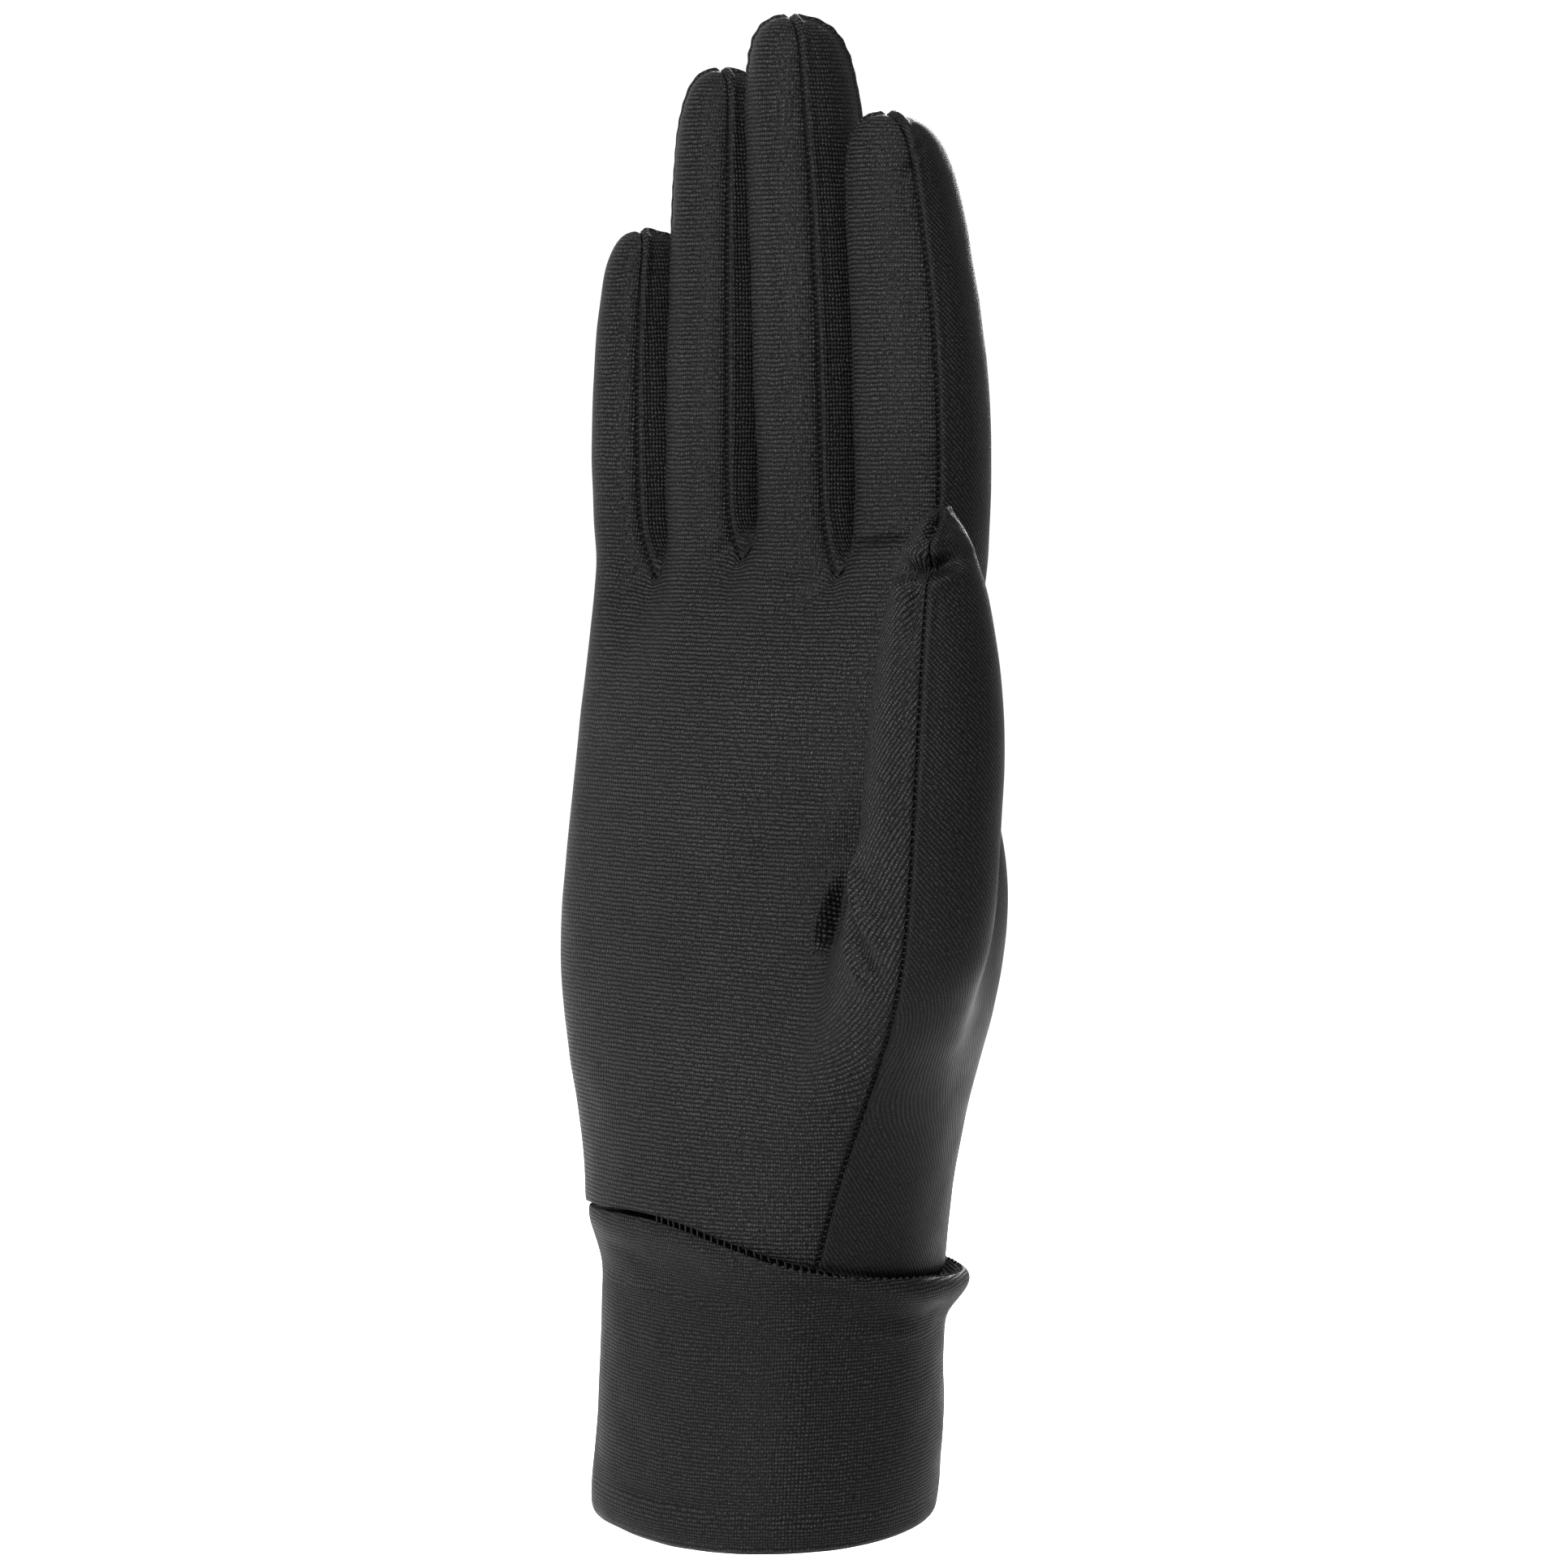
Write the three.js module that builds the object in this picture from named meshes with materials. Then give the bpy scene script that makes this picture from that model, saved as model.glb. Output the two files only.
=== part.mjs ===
// A thin knitted running glove for the right hand, standing on its cuff with the fingers up, filled
// out as a hand fills it. It is sewn from a palm that wraps round the little finger's side, a back
// that wraps round the index finger's side and the outside of the thumb, three side strips between
// the fingers and a doubled cuff. Every piece is a hollow wall of cloth with an open line at its seams.
// Millimetres. +X points to the thumb side, +Y to the back of the hand, +Z to the fingertips.
// The origin is the middle of the cuff's mouth, level with the folded hem.
import * as THREE from 'three';

// Driving dimensions
const CLOTH = 1.2; // thickness of one layer of brushed knit
const SEAM_GAP = 0.4; // open line between two sewn pieces
const SMOOTHING_ROUNDS = 1; // how often each cage face is divided in four
const RING_SHRINK = 1.1; // an eight-sided ring of control points stands this much outside its round

// The wrist seam is a slanting ring: it drops towards the back of the thumb side, and it rises in a
// soft arch over the heel of the palm. Angles are in degrees from the thumb side towards the back.
const WRIST_SEAM = { height: 44.8, slope: 0.178, towards: new THREE.Vector2(0.68, 0.73) };
const SEAM_ARCH = { height: 3.2, angle: -84, spread: 44 };

// Columns of control points round the hand, counted from the little finger's side over the palm.
const HAND_COLUMNS = 20;
const FRONT_FIRST = 1; // first and last column on the palm
const FRONT_LAST = 9; // the seam between palm and back on the thumb side
const THUMB_SIDE = 10;
const BACK_FIRST = 11; // first and last column on the back
const BACK_LAST = 19; // the seam between palm and back on the little finger's side
const SIDE_SHARE = 0.8; // how far out the outermost palm and back columns stand, of the half width
const COLUMN_LIMIT = 0.93; // and the furthest that a fanned column may stand

// Sections of the hand from the wrist seam up. fan is 0 where the columns are evenly spaced and 1
// where they stand below the fingers, and seam is where the thumb-side seam runs, of the half width.
const HAND_SECTIONS = [
  { height: 44.8, x: -0.1, y: 0.1, halfWidth: 32.6, halfDepth: 23.2, square: 2.2, fan: 0.0, seam: 0.8 },
  { height: 57.0, x: 0.4, y: 0.4, halfWidth: 34.6, halfDepth: 22.7, square: 2.2, fan: 0.0, seam: 0.83 },
  { height: 70.0, x: 0.1, y: 0.3, halfWidth: 39.6, halfDepth: 21.5, square: 2.2, fan: 0.1, seam: 0.86 },
  { height: 86.0, x: 0.0, y: -0.2, halfWidth: 44.8, halfDepth: 19.6, square: 2.3, fan: 0.3, seam: 0.86 },
  { height: 103.0, x: 1.0, y: -0.3, halfWidth: 45.0, halfDepth: 18.0, square: 2.4, fan: 0.6, seam: 0.83 },
  { height: 119.0, x: 2.0, y: -0.6, halfWidth: 43.0, halfDepth: 16.4, square: 2.5, fan: 0.9, seam: 0.8 },
  { height: 134.5, x: 3.0, y: -1.0, halfWidth: 40.0, halfDepth: 14.6, square: 2.5, fan: 1.0, seam: 0.8 },
];

// The little, ring, middle and index finger. bow is how far the middle of the finger stands to
// the thumb side, taper how much slimmer its tip is, and seamAngle how far from straight ahead
// the seam on its thumb side runs.
const FINGERS = [
  {
    rootX: -24.6, rootY: -2.0, tipX: -24.1, tipY: -2.4, tipHeight: 202.5, bow: -1.2,
    halfWidth: 8.1, halfDepth: 8.2, taper: 0.15, seamAngle: 40,
  },
  {
    rootX: -7.0, rootY: -1.6, tipX: -5.6, tipY: -2.4, tipHeight: 227, bow: -0.4,
    halfWidth: 8.8, halfDepth: 9.1, taper: 0.14, seamAngle: 52,
  },
  {
    rootX: 13.0, rootY: -0.3, tipX: 11.4, tipY: -4.0, tipHeight: 234.5, bow: 0.6,
    halfWidth: 9.3, halfDepth: 9.5, taper: 0.03, seamAngle: 50,
  },
  {
    rootX: 33.2, rootY: 1.6, tipX: 30.8, tipY: -2.4, tipHeight: 219, bow: 1.8,
    halfWidth: 10.3, halfDepth: 10.1, taper: 0.2, seamAngle: 64,
  },
];
const ROOT_HEIGHT = 149;
// Rings of a finger above its root: the share of its length, and of its girth.
// The four panels of a finger meet a little in front of its end, and above the last ring.
const TIP_FORWARD = 3.2;
const TIP_LIFT = 0.8;
const FINGER_RINGS = [
  { along: 0.1, girth: 1.0 },
  { along: 0.26, girth: 1.02 },
  { along: 0.44, girth: 1.02 },
  { along: 0.62, girth: 1.0 },
  { along: 0.78, girth: 0.98 },
  { along: 0.9, girth: 0.91 },
  { along: 0.98, girth: 0.68 },
];
const FINGER_COLUMNS = 8;
const LITTLE_SIDE_SEAM = 48; // the seam on a finger's other side, in degrees from straight ahead
const BACK_SEAMS = [132, 228]; // and the two seams on its back
const ROOT_CORNERS = { little: 0.75, index: 0.85, depth: 0.72 }; // corners of the outer fingers' roots

// Where two fingers part, from the little finger on: heights of the seam's lowest point in front,
// of the saddle between the fingers and of the seam's lowest point behind.
const CROTCHES = [
  { front: 147.5, saddle: 152.5, back: 146.5 },
  { front: 152.5, saddle: 157.5, back: 150.5 },
  { front: 148.5, saddle: 154.5, back: 147.5 },
];
const CROTCH_DEPTH = 0.62; // how far forward the crotch's seam stands, of the fingers' half depth

// The thumb leaves the hand through a gap two rows high and two columns wide, and stands beside
// the index. lean tips a ring out of the level, turn is where its outer seam faces, from straight
// ahead towards the thumb side.
const THUMB_GAP = { firstRow: 2, lastRow: 4, firstColumn: 8, lastColumn: 10 };
const THUMB_RINGS = [
  { x: 46.8, y: -13.6, height: 93.0, seamRadius: 10.6, sideRadius: 12.0, lean: 40, turn: 32 },
  { x: 50.8, y: -14.4, height: 105.0, seamRadius: 10.6, sideRadius: 11.0, lean: 22, turn: 30 },
  { x: 52.3, y: -14.4, height: 118.0, seamRadius: 10.6, sideRadius: 10.7, lean: 8, turn: 30 },
  { x: 52.6, y: -14.1, height: 130.0, seamRadius: 10.0, sideRadius: 9.9, lean: 4, turn: 30 },
  { x: 52.8, y: -13.9, height: 141.0, seamRadius: 8.8, sideRadius: 8.7, lean: 0, turn: 30 },
  { x: 53.0, y: -14.0, height: 150.0, seamRadius: 7.1, sideRadius: 6.9, lean: 0, turn: 30 },
  { x: 53.2, y: -14.1, height: 157.0, seamRadius: 4.6, sideRadius: 4.2, lean: 0, turn: 30 },
];
const THUMB_TIP = { x: 53.8, y: -13.9, height: 164.5 };

// The thumb's root swells the hand in front and behind it and lifts the web between thumb and
// index. Each row has its own amounts, which are shared out over the columns.
const THUMB_SWELL = [
  { row: 2, front: 1.6, behind: 0.8, lift: 0 },
  { row: 3, front: 3.0, behind: 3.6, lift: 0 },
  { row: 4, front: -2.4, behind: 4.6, lift: 2.0 },
  { row: 5, front: -1.5, behind: 1.0, lift: 1.0 },
];
const FRONT_SWELL = {
  towards: new THREE.Vector3(0.55, -0.83, 0),
  shares: { 6: 0.15, 7: 0.4, 8: 0.8, 9: 1.0, 10: 0.5 },
};
const BACK_SWELL = {
  towards: new THREE.Vector3(0.8, 0.6, 0),
  shares: { 9: 0.2, 10: 0.4, 11: 1.1, 12: 0.6 },
};
const WEB_LIFT_SHARES = { 7: 0.3, 8: 0.8, 9: 1.0, 10: 0.8, 11: 0.4 };

// The cuff is one tube folded in at the hem. up is 0 at the hem and 1 at the wrist seam, out is
// how far the cloth stands from the wrist's section and roll how far the seam's roll adds to it
// on the back of the thumb side, where the roll also stands up over the seam.
const CUFF_HEM = { x: 0.0, y: 0.0, halfWidth: 28.4, halfDepth: 21.5, square: 2.3 };
const HEM_WAVE = { middle: 1.0, dip: 2.8, corner: 3.9, slant: 0.8 }; // the hem's soft wave
const CUFF_PROFILE = [
  { up: -0.01, out: 0.2, roll: 0, rise: 0 },
  { up: 0.02, out: 1.9, roll: 0, rise: 0 },
  { up: 0.12, out: 1.4, roll: 0.2, rise: 0 },
  { up: 0.35, out: -0.1, roll: 2.2, rise: 0.8 },
  { up: 0.6, out: -1.5, roll: 2.8, rise: 1.0 },
  { up: 0.79, out: -2.2, roll: 3.0, rise: 1.0 },
  { up: 0.84, out: -2.0, roll: 3.8, rise: 1.3 },
  { up: 0.9, out: -1.2, roll: 4.8, rise: 1.7 },
  { up: 0.95, out: -0.5, roll: 5.3, rise: 2.1 },
  { up: 0.985, out: -0.5, roll: 4.4, rise: 2.6 },
  { up: 1.0, out: -0.8, roll: 3.2, rise: 2.6 },
  { up: 0.985, out: -0.8, roll: 2.0, rise: 0.2 },
  { up: 0.97, out: -2.6, roll: 0, rise: 0 },
  { up: 0.6, out: -3.8, roll: 0, rise: 0 },
  { up: 0.06, out: -1.6, roll: 0, rise: 0 },
];

const PALM_CLOTH = { color: 0x1d1d1e, roughness: 0.62, metalness: 0 };
const BACK_CLOTH = { color: 0x19191a, roughness: 0.68, metalness: 0 };
const CUFF_CLOTH = { color: 0x1b1b1c, roughness: 0.7, metalness: 0 };

// Names of the pieces
const PALM = 'palm_panel';
const BACK = 'back_panel';
const STRIPS = ['strip_little_ring', 'strip_ring_middle', 'strip_middle_index'];

// A cage is control points and four-cornered faces, each with the name of the piece it belongs to.
function makeCage() {
  return { points: [], faces: [] };
}

function addPoint(cage, x, y, z) {
  cage.points.push(new THREE.Vector3(x, y, z));
  return cage.points.length - 1;
}

// Joins two rows of points with faces, where pieceOf(column) names the piece or is null for a gap.
function joinRows(cage, lower, upper, pieceOf) {
  const count = lower.length;
  for (let column = 0; column < count; column += 1) {
    const next = (column + 1) % count;
    const piece = pieceOf(column);
    if (piece) {
      cage.faces.push({ piece, corners: [lower[column], lower[next], upper[next], upper[column]] });
    }
  }
}

// Front or back of a squared oval at a share of its half width.
function ovalDepth(section, share) {
  const rest = Math.max(0, 1 - Math.abs(share) ** section.square);
  return section.halfDepth * rest ** (1 / section.square);
}

// The height of the wrist seam beside a point.
function seamHeight(x, y) {
  const drop = WRIST_SEAM.slope * (x * WRIST_SEAM.towards.x + y * WRIST_SEAM.towards.y);
  const turn = THREE.MathUtils.radToDeg(Math.atan2(y, x)) - SEAM_ARCH.angle;
  const away = THREE.MathUtils.euclideanModulo(turn + 180, 360) - 180;
  return WRIST_SEAM.height - drop + SEAM_ARCH.height * Math.exp(-((away / SEAM_ARCH.spread) ** 2));
}

// Half-way lines between neighbouring fingers at the root.
function crotchX(index) {
  return (FINGERS[index].rootX + FINGERS[index + 1].rootX) / 2;
}

// The x of each palm column at the finger roots: corner, finger, crotch, finger, ... corner.
function rootLine() {
  const line = [];
  FINGERS.forEach((finger, index) => {
    line.push(index === 0 ? finger.rootX - finger.halfWidth * ROOT_CORNERS.little : crotchX(index - 1));
    line.push(finger.rootX);
  });
  const last = FINGERS[FINGERS.length - 1];
  line.push(last.rootX + last.halfWidth * ROOT_CORNERS.index);
  return line;
}

function columnShare(section, step, steps, corner) {
  const even = THREE.MathUtils.lerp(-SIDE_SHARE, corner, step / steps);
  const below = (rootLine()[step] - section.x) / section.halfWidth;
  const limit = THREE.MathUtils.clamp(below, -COLUMN_LIMIT, COLUMN_LIMIT);
  return THREE.MathUtils.lerp(even, limit, section.fan);
}

function handPoint(section, column) {
  const steps = FRONT_LAST - FRONT_FIRST;
  if (column === 0 || column === THUMB_SIDE) {
    return new THREE.Vector2(section.x + (column ? 1 : -1) * section.halfWidth, section.y);
  }
  const front = column <= FRONT_LAST;
  const step = front ? column - FRONT_FIRST : BACK_LAST - column;
  const share = columnShare(section, step, steps, front ? section.seam : SIDE_SHARE);
  const depth = ovalDepth(section, share);
  return new THREE.Vector2(section.x + share * section.halfWidth, section.y + (front ? -depth : depth));
}

function addHandRow(cage, section, row) {
  const swell = THUMB_SWELL.find((entry) => entry.row === row);
  const indices = [];
  for (let column = 0; column < HAND_COLUMNS; column += 1) {
    const flat = handPoint(section, column);
    const point = new THREE.Vector3(flat.x, flat.y, section.height);
    if (row === 0) point.z = seamHeight(flat.x, flat.y);
    if (swell) {
      point.addScaledVector(FRONT_SWELL.towards, swell.front * (FRONT_SWELL.shares[column] ?? 0));
      point.addScaledVector(BACK_SWELL.towards, swell.behind * (BACK_SWELL.shares[column] ?? 0));
      point.z += swell.lift * (WEB_LIFT_SHARES[column] ?? 0);
    }
    indices.push(addPoint(cage, point.x, point.y, point.z));
  }
  return indices;
}

// The finger roots: one row of the hand, plus a saddle point in each crotch.
function addRootRow(cage) {
  const row = new Array(HAND_COLUMNS);
  const saddles = [];
  const line = rootLine();
  FINGERS.forEach((finger, index) => {
    const column = FRONT_FIRST + 1 + index * 2;
    const mirror = BACK_LAST - 1 - index * 2;
    const depth = finger.halfDepth * RING_SHRINK;
    row[column] = addPoint(cage, finger.rootX, finger.rootY - depth, ROOT_HEIGHT);
    row[mirror] = addPoint(cage, finger.rootX, finger.rootY + depth, ROOT_HEIGHT);
  });
  CROTCHES.forEach((crotch, index) => {
    const [one, two] = [FINGERS[index], FINGERS[index + 1]];
    const y = (one.rootY + two.rootY) / 2;
    const depth = CROTCH_DEPTH * (one.halfDepth + two.halfDepth) / 2;
    const x = crotchX(index);
    row[FRONT_FIRST + 2 + index * 2] = addPoint(cage, x, y - depth, crotch.front);
    row[BACK_LAST - 2 - index * 2] = addPoint(cage, x, y + depth, crotch.back);
    saddles.push(addPoint(cage, x, y, crotch.saddle));
  });
  const [first, last] = [FINGERS[0], FINGERS[FINGERS.length - 1]];
  const littleDepth = first.halfDepth * ROOT_CORNERS.depth;
  const indexDepth = last.halfDepth * ROOT_CORNERS.depth;
  row[FRONT_FIRST] = addPoint(cage, line[0], first.rootY - littleDepth, ROOT_HEIGHT);
  row[BACK_LAST] = addPoint(cage, line[0], first.rootY + littleDepth, ROOT_HEIGHT);
  row[0] = addPoint(cage, first.rootX - first.halfWidth * RING_SHRINK, first.rootY, ROOT_HEIGHT);
  const end = line[line.length - 1];
  row[FRONT_LAST] = addPoint(cage, end, last.rootY - indexDepth, ROOT_HEIGHT);
  row[BACK_FIRST] = addPoint(cage, end, last.rootY + indexDepth, ROOT_HEIGHT);
  row[THUMB_SIDE] = addPoint(cage, last.rootX + last.halfWidth * RING_SHRINK, last.rootY, ROOT_HEIGHT);
  return { row, saddles };
}

// The root ring of a finger, from its front corner on the little finger's side, round by the front.
function rootRing(roots, index) {
  const column = FRONT_FIRST + index * 2;
  const mirror = BACK_LAST - index * 2;
  const inner = index > 0 ? roots.saddles[index - 1] : roots.row[0];
  const outer = index < CROTCHES.length ? roots.saddles[index] : roots.row[THUMB_SIDE];
  return [
    roots.row[column], roots.row[column + 1], roots.row[column + 2], outer,
    roots.row[mirror - 2], roots.row[mirror - 1], roots.row[mirror], inner,
  ];
}

// Which piece each side of a finger belongs to: front, thumb side, back, little finger's side.
function fingerPieces(index) {
  return [PALM, STRIPS[index] ?? BACK, BACK, STRIPS[index - 1] ?? PALM];
}

function fingerAngles(finger) {
  const [outer, inner] = BACK_SEAMS;
  return [-LITTLE_SIDE_SEAM, 0, finger.seamAngle, 90, outer, 180, inner, 270];
}

function addFinger(cage, roots, index) {
  const finger = FINGERS[index];
  const sides = fingerPieces(index);
  const angles = fingerAngles(finger);
  const length = finger.tipHeight - ROOT_HEIGHT;
  let lower = rootRing(roots, index);
  for (const ring of FINGER_RINGS) {
    const bow = finger.bow * Math.sin(Math.PI * ring.along);
    const x = THREE.MathUtils.lerp(finger.rootX, finger.tipX, ring.along) + bow;
    const y = THREE.MathUtils.lerp(finger.rootY, finger.tipY, ring.along ** 2);
    const upper = angles.map((angle) => {
      const turn = THREE.MathUtils.degToRad(angle);
      const out = RING_SHRINK * ring.girth * (1 - finger.taper * ring.along ** 3);
      const px = x + finger.halfWidth * out * Math.sin(turn);
      const py = y - finger.halfDepth * out * Math.cos(turn);
      return addPoint(cage, px, py, ROOT_HEIGHT + length * ring.along);
    });
    joinRows(cage, lower, upper, (column) => sides[Math.floor(column / 2)]);
    lower = upper;
  }
  const tip = addPoint(cage, finger.tipX, finger.tipY - TIP_FORWARD, finger.tipHeight + TIP_LIFT);
  closeTip(cage, lower, tip, 0, (side) => sides[side]);
}

// Four faces close a ring of eight points to one tip point, starting at a seam column.
function closeTip(cage, ring, tip, start, pieceOf) {
  for (let side = 0; side < FINGER_COLUMNS / 2; side += 1) {
    const at = (offset) => ring[(start + side * 2 + offset) % FINGER_COLUMNS];
    cage.faces.push({ piece: pieceOf(side), corners: [tip, at(0), at(1), at(2)] });
  }
}

// The edge of the gap in the hand, round from its lower palm corner.
function gapRing(rows) {
  const { firstRow, lastRow, firstColumn, lastColumn } = THUMB_GAP;
  const middleRow = (firstRow + lastRow) / 2;
  const middleColumn = (firstColumn + lastColumn) / 2;
  return [
    rows[firstRow][firstColumn], rows[firstRow][middleColumn], rows[firstRow][lastColumn],
    rows[middleRow][lastColumn], rows[lastRow][lastColumn], rows[lastRow][middleColumn],
    rows[lastRow][firstColumn], rows[middleRow][firstColumn],
  ];
}

function inGap(row, column) {
  const rowInside = row >= THUMB_GAP.firstRow && row < THUMB_GAP.lastRow;
  return rowInside && column >= THUMB_GAP.firstColumn && column < THUMB_GAP.lastColumn;
}

function addThumb(cage, rows) {
  const outerSeam = 1; // ring column of the seam that runs down to the cuff
  const pieceOf = (column) => (column >= outerSeam && column < outerSeam + 4 ? BACK : PALM);
  let lower = gapRing(rows);
  for (const ring of THUMB_RINGS) {
    const turn = THREE.MathUtils.degToRad(ring.turn);
    const lean = THREE.MathUtils.degToRad(ring.lean);
    const level = new THREE.Vector3(Math.sin(turn), -Math.cos(turn), 0);
    const side = new THREE.Vector3(Math.cos(turn), Math.sin(turn), 0);
    const seam = level.clone().multiplyScalar(Math.cos(lean));
    seam.z = -Math.sin(lean);
    const upper = [];
    for (let column = 0; column < FINGER_COLUMNS; column += 1) {
      const angle = ((column - outerSeam) / FINGER_COLUMNS) * Math.PI * 2;
      const point = new THREE.Vector3(ring.x, ring.y, ring.height);
      point.addScaledVector(seam, Math.cos(angle) * ring.seamRadius * RING_SHRINK);
      point.addScaledVector(side, Math.sin(angle) * ring.sideRadius * RING_SHRINK);
      upper.push(addPoint(cage, point.x, point.y, point.z));
    }
    joinRows(cage, lower, upper, pieceOf);
    lower = upper;
  }
  const tip = addPoint(cage, THUMB_TIP.x, THUMB_TIP.y, THUMB_TIP.height);
  closeTip(cage, lower, tip, outerSeam, (side) => (side < 2 ? BACK : PALM));
}

function handPiece(row, column) {
  if (inGap(row, column)) return null;
  return column >= FRONT_LAST && column < BACK_LAST ? BACK : PALM;
}

function gloveCage() {
  const cage = makeCage();
  const rows = HAND_SECTIONS.map((section, row) => addHandRow(cage, section, row));
  const roots = addRootRow(cage);
  rows.push(roots.row);
  for (let row = 0; row + 1 < rows.length; row += 1) {
    joinRows(cage, rows[row], rows[row + 1], (column) => handPiece(row, column));
  }
  FINGERS.forEach((finger, index) => addFinger(cage, roots, index));
  addThumb(cage, rows);
  return cage;
}

function edgeKey(a, b) {
  return a < b ? `${a},${b}` : `${b},${a}`;
}

// The edges of a cage, each with its two ends and the faces on it.
function edgesOf(cage) {
  const edges = new Map();
  cage.faces.forEach((face, index) => {
    face.corners.forEach((a, corner) => {
      const b = face.corners[(corner + 1) % 4];
      const key = edgeKey(a, b);
      if (!edges.has(key)) edges.set(key, { ends: [a, b], faces: [] });
      edges.get(key).faces.push(index);
    });
  });
  return edges;
}

function middleOf(points) {
  const sum = new THREE.Vector3();
  points.forEach((point) => sum.add(point));
  return sum.divideScalar(points.length);
}

// One round of Catmull-Clark: every face becomes four, and the points move to the smoother surface.
function divide(cage) {
  const edges = edgesOf(cage);
  const next = makeCage();
  const middles = cage.faces.map((face) => middleOf(face.corners.map((c) => cage.points[c])));
  const around = cage.points.map(() => ({ faces: [], edges: [], rim: [] }));
  cage.faces.forEach((face, index) => face.corners.forEach((c) => around[c].faces.push(middles[index])));
  edges.forEach((edge) => {
    const ends = edge.ends.map((end) => cage.points[end]);
    edge.middle = middleOf(ends);
    const rim = edge.faces.length === 1;
    edge.point = rim ? edge.middle : middleOf([...ends, ...edge.faces.map((face) => middles[face])]);
    edge.ends.forEach((end) => {
      around[end].edges.push(edge.middle);
      if (rim) around[end].rim.push(edge.middle);
    });
  });
  cage.points.forEach((point, index) => {
    const near = around[index];
    const count = near.faces.length;
    if (near.rim.length) {
      next.points.push(middleOf([point, middleOf(near.rim)]));
      return;
    }
    const moved = middleOf(near.faces).addScaledVector(middleOf(near.edges), 2);
    next.points.push(moved.addScaledVector(point, count - 3).divideScalar(count));
  });
  edges.forEach((edge) => {
    edge.index = next.points.push(edge.point) - 1;
  });
  cage.faces.forEach((face, index) => {
    const centre = next.points.push(middles[index]) - 1;
    face.corners.forEach((corner, place) => {
      const after = edges.get(edgeKey(corner, face.corners[(place + 1) % 4])).index;
      const before = edges.get(edgeKey(face.corners[(place + 3) % 4], corner)).index;
      next.faces.push({ piece: face.piece, corners: [corner, after, centre, before] });
    });
  });
  return next;
}

// Moves every point of a divided cage onto the smooth surface that more rounds would reach.
function settle(cage) {
  const edges = edgesOf(cage);
  const sums = cage.points.map(() => ({ count: 0, across: new THREE.Vector3(), rim: [] }));
  const beside = cage.points.map(() => new THREE.Vector3());
  cage.faces.forEach((face) => {
    face.corners.forEach((corner, place) => {
      sums[corner].count += 1;
      sums[corner].across.add(cage.points[face.corners[(place + 2) % 4]]);
    });
  });
  edges.forEach((edge) => {
    const [a, b] = edge.ends;
    beside[a].add(cage.points[b]);
    beside[b].add(cage.points[a]);
    if (edge.faces.length === 1) {
      sums[a].rim.push(cage.points[b]);
      sums[b].rim.push(cage.points[a]);
    }
  });
  const points = cage.points.map((point, index) => {
    const { count, across, rim } = sums[index];
    if (rim.length) return middleOf([point, point, point, point, ...rim]);
    const moved = point.clone().multiplyScalar(count * count).addScaledVector(beside[index], 4);
    return moved.add(across).divideScalar(count * (count + 5));
  });
  return { points, faces: cage.faces };
}

function smooth(cage) {
  let finer = cage;
  for (let round = 0; round < SMOOTHING_ROUNDS; round += 1) finer = divide(finer);
  return settle(finer);
}

function normalsOf(cage) {
  const normals = cage.points.map(() => new THREE.Vector3());
  cage.faces.forEach((face) => {
    const [a, b, c, d] = face.corners.map((corner) => cage.points[corner]);
    const normal = c.clone().sub(a).cross(d.clone().sub(b));
    face.corners.forEach((corner) => normals[corner].add(normal));
  });
  return normals.map((normal) => normal.normalize());
}

function geometryOf(points, triangles) {
  const geometry = new THREE.BufferGeometry();
  const numbers = points.flatMap((point) => point.toArray());
  geometry.setAttribute('position', new THREE.Float32BufferAttribute(numbers, 3));
  geometry.setIndex(triangles);
  geometry.computeVertexNormals();
  return geometry;
}

function splitFace([a, b, c, d]) {
  return [a, b, c, a, c, d];
}

// The wall of one piece: its outer face, its inner face one cloth further in, and its cut edges,
// drawn back by half the seam gap.
function wallGeometry(skin, normals, piece) {
  const faces = skin.faces.filter((face) => face.piece === piece);
  const rim = new Map();
  edgesOf({ faces }).forEach((edge) => {
    if (edge.faces.length === 1) rim.set(edgeKey(...edge.ends), edge);
  });
  const shifts = new Map();
  const cutEdges = [];
  faces.forEach((face) => {
    face.corners.forEach((a, place) => {
      const b = face.corners[(place + 1) % 4];
      if (!rim.has(edgeKey(a, b))) return;
      cutEdges.push([a, b]);
      const along = skin.points[b].clone().sub(skin.points[a]);
      [a, b].forEach((end) => {
        const inward = normals[end].clone().cross(along).normalize();
        if (!shifts.has(end)) shifts.set(end, []);
        shifts.get(end).push(inward);
      });
    });
  });
  const order = new Map();
  const outer = [];
  const inner = [];
  faces.forEach((face) => face.corners.forEach((corner) => {
    if (order.has(corner)) return;
    order.set(corner, outer.length);
    const point = skin.points[corner].clone();
    const pulls = shifts.get(corner) ?? [];
    if (pulls.length) {
      const sum = pulls.reduce((total, pull) => total.add(pull), new THREE.Vector3());
      const reach = (SEAM_GAP / 2) * pulls.length / Math.max(sum.lengthSq(), 1);
      point.addScaledVector(sum, reach);
    }
    outer.push(point);
    inner.push(point.clone().addScaledVector(normals[corner], -CLOTH));
  }));
  const count = outer.length;
  const triangles = [];
  faces.forEach((face) => {
    const corners = face.corners.map((corner) => order.get(corner));
    triangles.push(...splitFace(corners));
    triangles.push(...splitFace(corners.map((corner) => corner + count).reverse()));
  });
  cutEdges.forEach(([a, b]) => {
    const [one, two] = [order.get(a), order.get(b)];
    triangles.push(...splitFace([two, one, one + count, two + count]));
  });
  return geometryOf([...outer, ...inner], triangles);
}

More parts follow.
